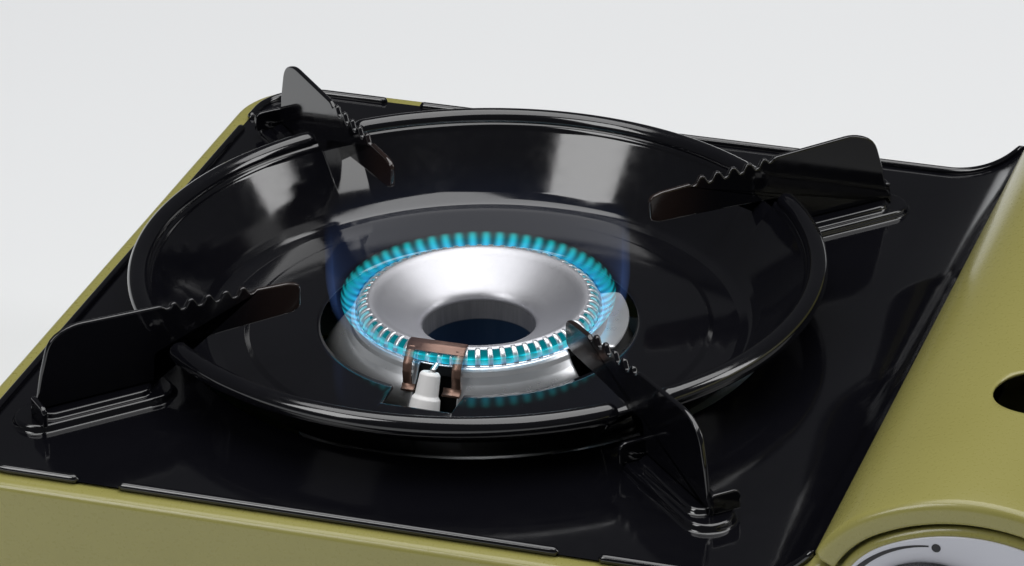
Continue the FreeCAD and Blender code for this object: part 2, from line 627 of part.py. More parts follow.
reg_foot = box(152, 198, -120.0, -109.6, FLOOR_Z, FLOOR_Z + 1.2).fuse(box(152, 198, -110.8, -109.6, FLOOR_Z, 54))
reg_foot = reg_foot.fuse(box(152, 170, -110.8, -109.6, 54, 64)).fuse(box(152, 170, -120, -109.6, 62.8, 64))
save("regulator_bracket", reg_foot.removeSplitter())

# Knob, its shaft with the snail cam, and the needle it drives
face_y = FACE_Y


def dial_outline(d, y):
    edges = arch_edges(d)
    p = edges[0].Vertexes[0].Point
    q = edges[-1].Vertexes[-1].Point
    ends = [v.Point for ed in edges for v in ed.Vertexes]
    lft = min(ends, key=lambda v: v.x)
    rgt = max(ends, key=lambda v: v.x)
    x0 = lft.x - 2.2
    low = 52.0
    x1 = rgt.x
    up = [line((x0, low + 8), (x0, lft.z - 5)), line((x0, lft.z - 5), (lft.x, lft.z))]
    down = [line((x1, rgt.z), (x1, low + 8)), line((x1, low + 8), (x1 - 8, low)), line((x1 - 8, low), (x0 + 8, low)), line((x0 + 8, low), (x0, low + 8))]
    f = Part.Face(Part.Wire(up + edges + down))
    f.translate(V(0, y, 0))
    return f


dial = dial_outline(10.2, face_y).extrude(V(0, 0.8, 0))
dial = dial.cut(cyl(SHAFT_R + 3.0, 6, (KNOB_X, face_y - 2, KNOB_Z), (0, 1, 0)))
save("dial_plate", dial)
ring_y = RING_Y
skirt_ring = Part.makeCone(KNOB_RING_R - 1.2, KNOB_RING_R, RING_DEPTH, V(KNOB_X, ring_y - RING_DEPTH, KNOB_Z), V(0, 1, 0))
skirt_ring = skirt_ring.cut(cyl(SHAFT_R, 10, (KNOB_X, ring_y - 6, KNOB_Z), (0, 1, 0)))
save("knob_ring", skirt_ring)
grip_y = ring_y - RING_DEPTH
grip = Part.makeCone(KNOB_R - 1.0, KNOB_R, 4.0, V(KNOB_X, grip_y - 4.0, KNOB_Z), V(0, 1, 0))
grip = grip.fuse(box(KNOB_X - 4.2, KNOB_X + 4.2, grip_y - GRIP_DEPTH, grip_y - 3.0, KNOB_Z - 16.5, KNOB_Z + 16.5))
grip = grip.cut(cyl(SHAFT_R, 5.5, (KNOB_X, grip_y - 5.5, KNOB_Z), (0, 1, 0)))
save("knob_grip", grip.removeSplitter())
point = box(KNOB_X - 0.9, KNOB_X + 0.9, FRONT_Y, FRONT_Y + POINTER_T, KNOB_Z + 4.0, KNOB_Z + 15.0)
save("knob_pointer", point)
shaft_y0 = grip_y - 5.5
CAM_Y = -133.8
CAM_T = 3.6
cam_pts = []
for i in range(49):
    phi = -360.0 * i / 48
    q = -phi
    if q <= TURN_DEG + 14:
        r = CAM_R + STRIKE * min(q, TURN_DEG) / TURN_DEG
    elif q < TURN_DEG + 40:
        r = CAM_R + STRIKE * (1 - (q - TURN_DEG - 14) / 26.0)
    else:
        r = CAM_R
    if q > 352:
        r = CAM_R
    a = math.radians(-90.0 + phi)
    cam_pts.append((KNOB_X + r * math.cos(a), CAM_Y, KNOB_Z + r * math.sin(a)))
cam = prism(cam_pts[:-1], (0, CAM_T, 0))
shaft = cyl(SHAFT_R, -122.5 - shaft_y0, (KNOB_X, shaft_y0, KNOB_Z), (0, 1, 0))
save("knob_shaft", fuse([shaft, cam]))
needle = cyl(2.0, 9.0, (KNOB_X, -121.8, KNOB_Z), (0, 1, 0)).fuse(Part.makeCone(2.0, 0.6, 3.0, V(KNOB_X, -112.8, KNOB_Z), V(0, 1, 0)))
save("needle_valve", needle.removeSplitter())

# Piezo spark unit under the knob and its striker
rod_r = 2.0
strike_y = CAM_Y + CAM_T / 2
top_z = KNOB_Z - CAM_R - CAM_GAP
UNIT_Y0 = BODY_Y0 + 2 * SHEET + 0.4
UNIT_Y1 = UNIT_Y0 + 13.0
unit = box(KNOB_X - 8, KNOB_X + 8, UNIT_Y0, UNIT_Y1, 30, 56)
unit = unit.makeFillet(2.0, [q for q in unit.Edges if q.BoundBox.ZLength > 20])
unit = unit.cut(cyl(rod_r + RUN, 24, (KNOB_X, strike_y, 34), (0, 0, 1)))
save("piezo_unit", unit)
rod = cyl(rod_r, top_z - 2.0 - 42.0, (KNOB_X, strike_y, 42.0), (0, 0, 1))
rod = rod.fuse(Part.makeCone(rod_r, 1.0, 2.0, V(KNOB_X, strike_y, top_z - 2.0), V(0, 0, 1)))
rod = rod.fuse(cyl(3.6, 1.4, (KNOB_X, strike_y, 62.0), (0, 0, 1)))
save("piezo_striker", rod.removeSplitter())
pb = box(KNOB_X - 12, KNOB_X + 12, UNIT_Y0, UNIT_Y1 + 1.6, FLOOR_Z, FLOOR_Z + 1.2)
pb = pb.fuse(box(KNOB_X - 9.2, KNOB_X + 9.2, UNIT_Y0, UNIT_Y1, 28.8, 30)).fuse(box(KNOB_X - 9.2, KNOB_X - 8, UNIT_Y0, UNIT_Y1, FLOOR_Z, 46))
pb = pb.fuse(box(KNOB_X + 8, KNOB_X + 9.2, UNIT_Y0, UNIT_Y1, FLOOR_Z, 46))
save("piezo_bracket", pb.removeSplitter())

# Cradle for the gas cartridge
cr = CAN_R + CAN_FIT
arc_out = []
for i in range(11):
    a = math.radians(-140.0 + 10.0 * i)
    arc_out.append((CAN_X + cr * math.cos(a), CAN_Z + cr * math.sin(a)))
arc_in = []
for i in range(11):
    a = math.radians(-40.0 - 10.0 * i)
    arc_in.append((CAN_X + (cr + 1.0) * math.cos(a), CAN_Z + (cr + 1.0) * math.sin(a)))
cradle = prism([(x, -70.0, z) for x, z in arc_out + arc_in], (0, 180, 0))
legs = []
for x in (CAN_X - 16.0, CAN_X + 15.0):
    lz = CAN_Z - math.sqrt((cr + 0.5) ** 2 - (abs(x + 0.5 - CAN_X) + 0.5) ** 2)
    legs.append(box(x, x + 1.0, -60, 100, FLOOR_Z, lz + 0.3))
legs.append(box(CAN_X - 28, CAN_X - 15.0, -60, 100, FLOOR_Z, FLOOR_Z + 1.0))
legs.append(box(CAN_X + 15.0, CAN_X + 28, -60, 100, FLOOR_Z, FLOOR_Z + 1.0))
bay_round = cyl(cr, 300, (CAN_X, -150, CAN_Z), (0, 1, 0))
cradle = fuse([cradle] + legs).cut(bay_round)
for y in (-30.0, 20.0, 70.0):
    cradle = cradle.cut(box(CAN_X - 6, CAN_X + 6, y - 14, y + 14, 50, 58))
save("cartridge_cradle", cradle)

# Cartridge cover
band = arch_edges(0.0)
a0 = ARCH[0][2]
outer_l = arch_point(0, a0, 0.0)
inner_l = arch_point(0, a0, COVER_FLANGE)
outer_r = arch_point(2, 0.0, 0.0)
inner_r = arch_point(2, 0.0, COVER_FLANGE)
edges = band + [line(outer_r, (outer_r[0], COVER_FOOT_Z)), line((outer_r[0], COVER_FOOT_Z), (inner_r[0], COVER_FOOT_Z)), line((inner_r[0], COVER_FOOT_Z), inner_r)]
edges += arch_edges(COVER_FLANGE) + [line(inner_l, outer_l)]
solid = across(Part.__sortEdges__(edges)).common(plan(0.0, 60, 140))
il = arch_point(0, a0, SHEET)
ir = arch_point(2, 0.0, SHEET)
edges = arch_edges(SHEET) + [line(ir, (ir[0], 50)), line((ir[0], 50), (il[0], 50)), line((il[0], 50), il)]
hollow = across(Part.__sortEdges__(edges)).common(plan(SHEET, 40, 140))
cover = solid.cut(hollow)
cover = cover.cut(cyl(VENT[2], 40, (VENT[0], VENT[1], 105), (0, 0, 1)))
HINGE = (BODY_X1 - HINGE_IN, HINGE_WALL_Z + HINGE_UP)
leaves = []
body_leaves = []
pins = []
for y in KNUCKLES:
    eye = cyl(EYE_R, 10, (HINGE[0], y - 5, HINGE[1]), (0, 1, 0))
    leaf = eye.fuse(box(BODY_X1 - 2 * SHEET, BODY_X1 - SHEET, y - 5, y + 5, HINGE[1], COVER_FOOT_Z + 8))
    leaf = leaf.cut(cyl(PIN_R + RUN, 12, (HINGE[0], y - 6, HINGE[1]), (0, 1, 0)))
    leaves.append(leaf.removeSplitter())
    for s in (-1, 1):
        yy = y + s * 8.5
        eye = cyl(EYE_R, 6, (HINGE[0], yy - 3, HINGE[1]), (0, 1, 0))
        eye = eye.fuse(box(HINGE[0] - 1.0, HINGE[0] + 1.0, yy - 3, yy + 3, HINGE_WALL_Z, HINGE[1]))
        eye = eye.fuse(box(HINGE[0] - 3.2, HINGE[0] + 1.6, yy - 3, yy + 3, HINGE_WALL_Z, HINGE_WALL_Z + 0.9))
        eye = eye.cut(cyl(PIN_R, 8, (HINGE[0], yy - 4, HINGE[1]), (0, 1, 0)))
        body_leaves.append(eye.removeSplitter())
    pins.append(cyl(PIN_R, 26, (HINGE[0], y - 13, HINGE[1]), (0, 1, 0)))
for y in KNUCKLES:
    cover = cover.cut(box(HINGE[0] - 3.5, BODY_X1 + 1, y - 12.2, y + 12.2, COVER_FOOT_Z - 1, HINGE[1] + EYE_R + 0.5))
cover = cover.cut(Part.makeCompound(leaves))
cover = max(cover.Solids, key=lambda s: s.Volume)
save("cartridge_cover", cover)
save("cover_hinge_leaves", Part.makeCompound(leaves))
save("body_hinge_leaves", Part.makeCompound(body_leaves))
save("hinge_pins", Part.makeCompound(pins))

# Rubber buffers under the cover
buffers = []
for y in (BODY_Y0 + 5.0, BODY_Y1 - 5.0):
    top_z_ = COVER_TOP - COVER_FLANGE - COVER_GAP
    buffers.append(cyl(3.0, COVER_TOP - top_z_, (ARCH_X, y, top_z_ - 1.0), (0, 0, 1)))
d = SHEET + 0.3
il = arch_point(0, a0, d)
ir = arch_point(2, 0.0, d)
edges = arch_edges(d) + [line(ir, (ir[0], 50)), line((ir[0], 50), (il[0], 50)), line((il[0], 50), il)]
cover_in = across(Part.__sortEdges__(edges)).common(plan(d, 40, 140))
buffers = [b.common(cover_in).cut(body) for b in buffers]
save("cover_buffers", Part.makeCompound([max(b.Solids, key=lambda s: s.Volume) for b in buffers]))
print("built", len(os.listdir("parts")), "nodes")
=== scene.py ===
# %% [markdown]
# # A butane cassette stove with a deep wind-shield bowl
# The stove is thin enamelled steel: an olive body and cartridge cover, a gloss black top plate, and a
# loose black bowl whose four toothed supports carry the pan. The finished frame gives every real piece
# in its place. Here most of the visible ones are drawn again as smooth surfaces, because gloss enamel
# shows every facet. Then all of it is painted, lit and seen from the photograph's own viewpoint.

import bpy
import json
import math
import numpy as np
from mathutils import Matrix, Vector


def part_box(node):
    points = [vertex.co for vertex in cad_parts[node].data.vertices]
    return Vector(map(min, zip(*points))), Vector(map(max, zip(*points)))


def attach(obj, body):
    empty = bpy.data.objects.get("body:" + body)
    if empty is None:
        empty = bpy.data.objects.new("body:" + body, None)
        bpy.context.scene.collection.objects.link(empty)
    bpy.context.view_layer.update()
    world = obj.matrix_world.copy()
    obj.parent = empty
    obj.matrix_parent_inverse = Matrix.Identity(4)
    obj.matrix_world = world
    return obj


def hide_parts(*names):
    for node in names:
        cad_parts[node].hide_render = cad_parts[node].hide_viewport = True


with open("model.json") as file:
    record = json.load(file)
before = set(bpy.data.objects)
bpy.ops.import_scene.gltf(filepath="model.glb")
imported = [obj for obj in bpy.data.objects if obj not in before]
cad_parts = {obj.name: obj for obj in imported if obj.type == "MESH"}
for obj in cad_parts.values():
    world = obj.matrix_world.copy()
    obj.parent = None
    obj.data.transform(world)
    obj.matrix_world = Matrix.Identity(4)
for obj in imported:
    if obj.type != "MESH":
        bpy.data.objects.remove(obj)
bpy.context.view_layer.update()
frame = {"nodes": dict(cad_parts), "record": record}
nodes = frame["nodes"]

# %% [markdown]
# A round stove top is easiest to draw in millimetres from the burner's axis, because the bowl, the
# ports and the supports are all turned about it. One function carries every finished point into the
# frame's metres, so no object is ever moved or scaled afterwards.

# %% Millimetres from the burner's axis
MM = 0.001
BURNER_X = -48.5
BURNER_Y = 5.15


def to_frame(points):
    """Points in millimetres from the burner's axis, shifted to the frame's origin and scaled to metres."""
    shift = np.array([BURNER_X, BURNER_Y, 0.0])
    return (np.asarray(points, float).reshape(-1, 3) + shift) * MM


low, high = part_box("burner_cap")
print("burner axis in the frame, mm:", [round((low[k] + high[k]) * 500, 2) for k in (0, 1)])

# %% [markdown]
# Pressed sheet is a surface of two parameters: one runs along an edge and the other runs across it. A
# grid of points is therefore the natural start for nearly all of these pieces. Working out the whole
# grid as one array is quick, and a finer grid costs only a larger number.

# %% Surfaces from grids of points
def grid(points, wrap_rows=False, wrap_cols=False):
    """Quads between neighbouring points of a (rows, columns, 3) array, closed round where wrapped."""
    rows, cols = points.shape[:2]
    i = np.arange(rows if wrap_rows else rows - 1)[:, None]
    j = np.arange(cols if wrap_cols else cols - 1)[None, :]
    i2 = (i + 1) % rows
    j2 = (j + 1) % cols
    quads = np.stack(np.broadcast_arrays(i * cols + j, i * cols + j2, i2 * cols + j2, i2 * cols + j), -1)
    return points.reshape(-1, 3), quads.reshape(-1, 4)


def join(surfaces):
    """Several surfaces as one: the points are stacked and the face numbers move up by the points before."""
    verts = []
    faces = []
    count = 0
    for points, quads in surfaces:
        verts.append(np.asarray(points, float))
        if isinstance(quads, np.ndarray):
            faces += (quads + count).tolist()
        else:
            faces += [[k + count for k in face] for face in quads]
        count += len(points)
    return np.concatenate(verts), faces


def face_normals(verts, quads):
    """Cross product of each quad's two diagonals."""
    a, b, c, d = (verts[quads[:, k]] for k in range(4))
    return np.cross(c - a, d - b)


def facing(surface, want):
    """The surface with its faces turned so that, summed over all, they look along the wanted vectors."""
    verts, quads = surface
    n = face_normals(verts, quads)
    centre = verts[quads].mean(1)
    aim = want(centre) if callable(want) else np.broadcast_to(np.asarray(want, float), n.shape)
    if (n * aim).sum() < 0:
        quads = quads[:, ::-1]
    return verts, quads


def from_axis(p):
    """Vectors from the vertical axis out to the points."""
    return p * np.array([1.0, 1.0, 0.0])


def smooth_line(points, radii, steps=5):
    """A line through the points whose inner corners are replaced by arcs, tangent to both sides."""
    p = np.asarray(points, float)
    radii = np.broadcast_to(radii, (len(p),))
    out = [p[0]]
    for k in range(1, len(p) - 1):
        a = p[k - 1] - p[k]
        b = p[k + 1] - p[k]
        la, lb = np.linalg.norm(a), np.linalg.norm(b)
        a, b = a / la, b / lb
        half = math.acos(float(np.clip(a @ b, -1, 1))) / 2
        if radii[k] <= 0 or half > 1.565:
            out.append(p[k])
            continue
        back = min(radii[k] / math.tan(half), 0.48 * la, 0.48 * lb)
        r = back * math.tan(half)
        mid = (a + b) / np.linalg.norm(a + b)
        centre = p[k] + mid * r / math.sin(half)
        s = p[k] + a * back - centre
        e = p[k] + b * back - centre
        turn = math.atan2(s[0] * e[1] - s[1] * e[0], float(s @ e))
        for t in np.linspace(0, turn, steps + 1):
            c, q = math.cos(t), math.sin(t)
            out.append(centre + np.array([c * s[0] - q * s[1], q * s[0] + c * s[1]]))
    out.append(p[-1])
    return np.array(out)


def eased(points, passes=4):
    """A line whose corners are cut again and again at a quarter and three quarters of each side."""
    p = np.asarray(points, float)
    for _ in range(passes):
        a = 0.75 * p[:-1] + 0.25 * p[1:]
        b = 0.25 * p[:-1] + 0.75 * p[1:]
        middle = np.empty((2 * len(a), p.shape[1]))
        middle[0::2], middle[1::2] = a, b
        p = np.concatenate([p[:1], middle, p[-1:]])
    return p


def turned(line, angles=None, count=240):
    """A line of (radius, height) points carried round the axis: x = r cos a, y = r sin a."""
    whole = angles is None
    a = np.linspace(0, 2 * math.pi, count, endpoint=False) if whole else np.asarray(angles, float)
    r, z = np.asarray(line, float).T
    pts = np.stack([r[:, None] * np.cos(a), r[:, None] * np.sin(a), z[:, None] + 0 * a], -1)
    return grid(pts, wrap_cols=whole)


def spin(points, degrees):
    """Points turned about the burner's axis."""
    c, s = math.cos(math.radians(degrees)), math.sin(math.radians(degrees))
    return np.asarray(points, float) @ np.array([[c, s, 0], [-s, c, 0], [0, 0, 1.0]])


print("corner test, points on a 3 mm round:", len(smooth_line([(0, 0), (10, 0), (10, 10)], 3)))

# %% [markdown]
# A finished piece is one mesh object. It rides on the body that carries it, stands for the frame's
# node, and names the finish it belongs to. Thin sheet gets its wall from a Solidify modifier, so that
# a hole or a turned edge shows its real thickness.

# %% Turning surfaces into pieces
made = []


def piece(name, surfaces, body, stands_for=(), paint=None, wall=0.0, smooth=True, weld=0.0):
    """One object from joined surfaces, in metres in the frame, with its finish and the body it rides on."""
    verts, faces = join(surfaces)
    mesh = bpy.data.meshes.new(name)
    mesh.from_pydata(to_frame(verts).tolist(), [], faces)
    mesh.validate()
    obj = bpy.data.objects.new(name, mesh)
    bpy.context.scene.collection.objects.link(obj)
    if weld:
        m = obj.modifiers.new("weld", "WELD")
        m.merge_threshold = weld * MM
    if wall:
        m = obj.modifiers.new("sheet", "SOLIDIFY")
        m.thickness = wall * MM
        m.offset = -1.0
    mesh.polygons.foreach_set("use_smooth", np.full(len(mesh.polygons), smooth))
    if paint is not None:
        mesh.materials.append(paint)
    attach(obj, body)
    if stands_for:
        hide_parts(*stands_for)
    made.append(obj)
    return obj


# %% [markdown]
# ## Finishes
# Enamel is a coloured glass-like coat: smooth, with a faint unevenness called orange peel that bends
# reflections. Each finish is a small group of nodes on object coordinates: one noise moves the tone a
# little, one moves the roughness, and one lifts the surface. The scales are in real sizes, so the grain
# of a casting is finer than the peel of the paint.

# %% Nodes in few words
def add(tree, kind, inputs, **settings):
    """A new node. Each input, named or numbered, takes a plain value or another node's output."""
    new = tree.nodes.new(kind)
    for key, value in settings.items():
        setattr(new, key, value)
    for key, value in inputs.items():
        if isinstance(value, bpy.types.NodeSocket):
            tree.links.new(value, new.inputs[key])
        else:
            new.inputs[key].default_value = value
    return new


def place_in(tree):
    """The object's own coordinates, which are the frame's, because no object is moved."""
    return add(tree, "ShaderNodeTexCoord", {}).outputs["Object"]


def ramp(tree, value, from_min, from_max, to_min=0.0, to_max=1.0, **settings):
    """A value carried from one range to another."""
    inputs = {"Value": value, "From Min": from_min, "From Max": from_max, "To Min": to_min, "To Max": to_max}
    return add(tree, "ShaderNodeMapRange", inputs, **settings).outputs["Result"]


def blend(tree, share, a, b):
    """A colour between two, each a triple or a node's output, by a share from 0 to 1."""
    ends = [c if isinstance(c, bpy.types.NodeSocket) else (*c, 1) for c in (a, b)]
    mix = add(tree, "ShaderNodeMix", {"A": ends[0], "B": ends[1], "Factor": share}, data_type="RGBA")
    return mix.outputs["Result"]


def tint(mat, share, colour):
    """The finish's own tone, blended towards a colour by a share."""
    base = mat.node_tree.nodes["Principled BSDF"].inputs["Base Color"]
    mat.node_tree.links.new(blend(mat.node_tree, share, base.links[0].from_socket, colour), base)


print("helpers for finishes:", [f.__name__ for f in (add, place_in, ramp, blend, tint)])

# %% [markdown]
# One recipe then serves every solid finish. Only the tones, the roughness, the sizes of the two noises
# and the height of the grain change from one material to the next.

# %% One recipe for all finishes
BROAD_DETAIL = 3.0
FINE_DETAIL = 4.0
GRAIN_RANGE = (0.3, 0.7)
BUMP_STRENGTH = 0.5


def finish(name, tones, rough, metal=0.0, grain=400.0, patch=30.0, lift=0.0, coat=0.0, coat_rough=0.05,
           stretch=(1, 1, 1), specular=0.5):
    """A material whose tone and roughness wander between two values, with a grain that lifts the surface."""
    mat = bpy.data.materials.new(name)
    mat.use_nodes = True
    tree = mat.node_tree
    shader = tree.nodes["Principled BSDF"]
    shader.inputs["Metallic"].default_value = metal
    shader.inputs["Coat Weight"].default_value = coat
    shader.inputs["Coat Roughness"].default_value = coat_rough
    shader.inputs["Specular IOR Level"].default_value = specular
    where = add(tree, "ShaderNodeMapping", {"Vector": place_in(tree), "Scale": stretch}).outputs["Vector"]
    sizes = ((patch, BROAD_DETAIL), (grain, FINE_DETAIL))
    broad, fine = (add(tree, "ShaderNodeTexNoise", {"Vector": where, "Scale": s, "Detail": d}).outputs["Fac"]
                   for s, d in sizes)
    tree.links.new(blend(tree, broad, *tones), shader.inputs["Base Color"])
    tree.links.new(ramp(tree, fine, *GRAIN_RANGE, *rough), shader.inputs["Roughness"])
    if lift:
        bump = add(tree, "ShaderNodeBump", {"Distance": lift * MM, "Strength": BUMP_STRENGTH, "Height": fine})
        tree.links.new(bump.outputs["Normal"], shader.inputs["Normal"])
    return mat


olive = finish("olive_enamel", ((0.295, 0.27, 0.075), (0.325, 0.30, 0.09)), (0.26, 0.32), grain=900,
               lift=0.003, coat=0.35, coat_rough=0.12)
black = finish("black_enamel", ((0.003, 0.003, 0.0045), (0.005, 0.005, 0.007)), (0.07, 0.12), grain=260,
               lift=0.004, specular=0.85)
zinc = finish("zinc_sheet", ((0.50, 0.51, 0.52), (0.60, 0.61, 0.62)), (0.28, 0.40), metal=1.0, grain=700,
              patch=60)
cap_steel = finish("burner_cap_steel", ((0.50, 0.50, 0.53), (0.60, 0.60, 0.63)), (0.36, 0.50), metal=0.85,
                   grain=2600, patch=55, lift=0.012)
skirt_steel = finish("burner_steel", ((0.66, 0.67, 0.69), (0.76, 0.77, 0.79)), (0.27, 0.31), metal=0.8,
                     grain=300, patch=40)
brown_steel = finish("heated_steel", ((0.13, 0.075, 0.055), (0.30, 0.19, 0.15)), (0.30, 0.45), metal=0.8,
                     grain=800, patch=200, lift=0.006)
throat_steel = finish("throat_steel", ((0.16, 0.16, 0.17), (0.34, 0.34, 0.35)), (0.40, 0.50), metal=0.5,
                      grain=700, patch=900, stretch=(1, 1, 0.06))
bright = finish("bright_steel", ((0.62, 0.62, 0.62), (0.72, 0.72, 0.72)), (0.16, 0.26), metal=1.0, grain=900)
cast = finish("cast_zinc", ((0.42, 0.43, 0.44), (0.52, 0.53, 0.54)), (0.42, 0.58), metal=1.0, grain=1500,
              lift=0.04)
brass = finish("turned_brass", ((0.66, 0.46, 0.18), (0.76, 0.56, 0.26)), (0.18, 0.28), metal=1.0, grain=1200)
silver = finish("silver_lacquer", ((0.60, 0.61, 0.67), (0.64, 0.65, 0.71)), (0.38, 0.46), metal=0.15,
                grain=3000, patch=20, lift=0.004)
ceramic = finish("white_ceramic", ((0.90, 0.89, 0.88), (0.96, 0.95, 0.95)), (0.30, 0.42), grain=900,
                 patch=120, lift=0.02)
rubber = finish("black_rubber", ((0.012, 0.012, 0.012), (0.02, 0.02, 0.02)), (0.6, 0.75), grain=1500,
                lift=0.03)
moulded = finish("grey_plastic", ((0.07, 0.07, 0.075), (0.09, 0.09, 0.095)), (0.45, 0.55), grain=1800,
                 lift=0.02)
knob_black = finish("knob_black", ((0.010, 0.010, 0.012), (0.016, 0.016, 0.018)), (0.22, 0.32), grain=1600,
                    lift=0.01)
ink = finish("panel_ink", ((0.012, 0.012, 0.016), (0.02, 0.02, 0.024)), (0.4, 0.5), grain=2000)
white = finish("white_inlay", ((0.78, 0.78, 0.78), (0.84, 0.84, 0.84)), (0.25, 0.32), grain=1500)
# Painted shade: a near-black steel for the hidden parts that sit in the shadow under the bowl.
shade_steel = finish("painted_shade_steel", ((0.02, 0.02, 0.022), (0.035, 0.035, 0.037)), (0.4, 0.55), metal=0.6,
                grain=900)
print("finishes:", len(bpy.data.materials))

# %% [markdown]
# Every node of the frame gets its finish now, so that a piece that is never drawn again, such as the
# regulator seen with the cover open, still looks like metal. The pieces below replace what shows.

# %% Paint the frame's own nodes
by_slot = {
    "olive_enamel": olive, "black_enamel": black, "zinc_sheet": zinc, "burner_steel": skirt_steel,
    "heated_steel": brown_steel, "bright_steel": bright, "silver_panel": silver, "cast_zinc": cast,
    "brass": brass, "white_ceramic": ceramic, "black_rubber": rubber, "grey_plastic": moulded,
    "knob_black": knob_black, "pointer_white": white,
}
# The heat shield, the igniter holder and the burner pot take the near-black steel, painted shade for the
# shadow they sit in under the bowl.
SHADED_NODES = ("heat_shield", "igniter_holder", "burner_pot")
for part in frame["record"]["subparts"]:
    mesh = nodes[part["node"]].data
    mesh.materials.clear()
    mesh.materials.append(shade_steel if part["node"] in SHADED_NODES else by_slot[part["material_slot"]])

# %% [markdown]
# ## The drip bowl
# The bowl is one deep drawing: a flat floor with a round hole, a step, a steep wall, and a rolled bead
# for a rim. It could be a lathe shape, but the real one isn't quite round: the bead stops short of each
# support, and the hole has a square bite where the spark electrode stands. So the line across the
# bowl is a function of the angle too.

# %% Bowl floor and wall
RIM_MID_R = 101.8
RIM_TUBE = 3.2
RIM_Z = 107.0
BITE_HALF = 11.0
BITE_Y = 58.0
HOLE_R = 48.0
HOLE_Z = 88.0
FLOOR_R, FLOOR_Z = 62.0, 87.5
CORNERS = (45, 135, 225, 315)


def hole_radius(angle):
    """Edge of the hole: the circle, or the square bite at the front where that reaches further out."""
    off = np.abs((angle + math.pi / 2 + math.pi) % (2 * math.pi) - math.pi)
    off = np.minimum(off, 1.2)
    bite = np.minimum(BITE_Y / np.cos(off), BITE_HALF / np.maximum(np.sin(off), 1e-6))
    return np.where(off < 0.6, np.maximum(HOLE_R, bite), HOLE_R)


bowl_line = smooth_line(
    [(FLOOR_R, FLOOR_Z), (69.3, 87.2), (70.9, 86.3), (78.6, 86.0), (82.2, 86.6), (84.9, 89.2), (97.9, 104.9),
     (98.7, RIM_Z)],
    [0, 1.2, 1.2, 3.0, 4.0, 9.0, 3.0, 0], 6)
even = np.radians(np.arange(0, 360, 1.0))
bite_edges = np.radians(-90 + np.concatenate([s * np.linspace(10.3, 13.7, 18) for s in (-1, 1)]))
rim_edges = np.concatenate([np.radians(c + s * np.linspace(3.2, 4.4, 9)) for c in CORNERS for s in (-1, 1)])
around = np.unique(np.round(np.concatenate([even, bite_edges % (2 * math.pi), rim_edges % (2 * math.pi)]), 5))
first = hole_radius(around)
ease = np.linspace(0, 1, 9)[:-1, None]
floor_r = first[None, :] + (FLOOR_R - first[None, :]) * ease
floor_z = HOLE_Z + (FLOOR_Z - HOLE_Z) * ease + 0 * first[None, :]
near = np.min(np.abs((np.degrees(around)[None, :] - np.array(CORNERS)[:, None] + 180) % 360 - 180), 0)
low = np.clip((4.1 - near) / 0.5, 0, 1)
wall_z = np.minimum(bowl_line[:, 1:2], np.where(low > 0, RIM_Z - 2.6 * low, RIM_Z)[None, :])
wall_r = bowl_line[:, 0:1] + 0 * around[None, :]
r_all = np.concatenate([floor_r, wall_r])
z_all = np.concatenate([floor_z, wall_z])
bowl_points = np.stack([r_all * np.cos(around), r_all * np.sin(around), z_all], -1)
bowl_skin = facing(grid(bowl_points, wrap_cols=True), (0, 0, 1))
print("bowl points:", bowl_points.shape, "depth mm:", round(float(z_all.max() - z_all.min()), 1))

# %% [markdown]
# The bead is a tube bent round a circle. Between the supports it ends in a half ball, which is the same
# tube with its radius running down to nothing over its last few millimetres.

# %% Rolled bead between the supports
def bead_arc(a0, a1, radius, z, tube, count=90, round_steps=20):
    """Tube of the given radius along an arc about the axis, closed by half balls at both ends."""
    length = math.radians(a1 - a0) * radius
    ball = tube * (1 - np.cos(np.linspace(0, math.pi / 2, 8)))
    s = np.concatenate([ball, np.linspace(tube, length - tube, count)[1:-1], length - ball[::-1]])
    near_end = np.minimum(s, length - s)
    thick = tube * np.sqrt(np.clip(1 - np.clip(1 - near_end / tube, 0, 1) ** 2, 0.0, 1))
    a = math.radians(a0) + s / radius
    turn = np.linspace(0, 2 * math.pi, round_steps, endpoint=False)
    r = radius + thick[:, None] * np.cos(turn)
    pts = np.stack([r * np.cos(a)[:, None], r * np.sin(a)[:, None], z + thick[:, None] * np.sin(turn)], -1)
    return grid(pts, wrap_cols=True)


def from_ring(radius, z):
    """Vectors from the middle of a ring's tube out to the points."""
    def aim(p):
        flat = p[:, :2] / np.linalg.norm(p[:, :2], axis=1)[:, None] * radius
        return p - np.concatenate([flat, np.full((len(p), 1), z)], 1)
    return aim


beads = []
for c in CORNERS:
    arc = bead_arc(c + 3.75, c + 86.25, RIM_MID_R, RIM_Z, RIM_TUBE)
    beads.append(facing(arc, from_ring(RIM_MID_R, RIM_Z)))
piece("drip_bowl_skin", [bowl_skin], "grate", ("drip_bowl",), black, wall=0.9)
piece("bowl_rim_bead", beads, "grate", (), black)
print("bead arcs:", len(beads), "tube mm:", RIM_TUBE * 2)

# %% [markdown]
# ## The pot supports
# A support is a stamped blade on edge. Its outline is what the eye reads: a blunt heat-browned tip,
# five teeth that keep a pan from sliding, a long back and a foot with two folded tabs. The blade is
# drawn as an outline, carried across its thickness with rounded edges, like a biscuit.

# %% Outlines with thickness
def inset(outline, d):
    """A closed outline drawn in by d along the average normal of its neighbouring sides."""
    p = np.asarray(outline, float)
    e = np.roll(p, -1, 0) - p
    n = np.stack([-e[:, 1], e[:, 0]], -1) / np.maximum(np.linalg.norm(e, axis=1), 1e-9)[:, None]
    m = n + np.roll(n, 1, 0)
    m = m / np.maximum(np.linalg.norm(m, axis=1), 1e-9)[:, None]
    area = 0.5 * np.sum(p[:, 0] * np.roll(p[:, 1], -1) - np.roll(p[:, 0], -1) * p[:, 1])
    return p + m * d * (1 if area > 0 else -1)


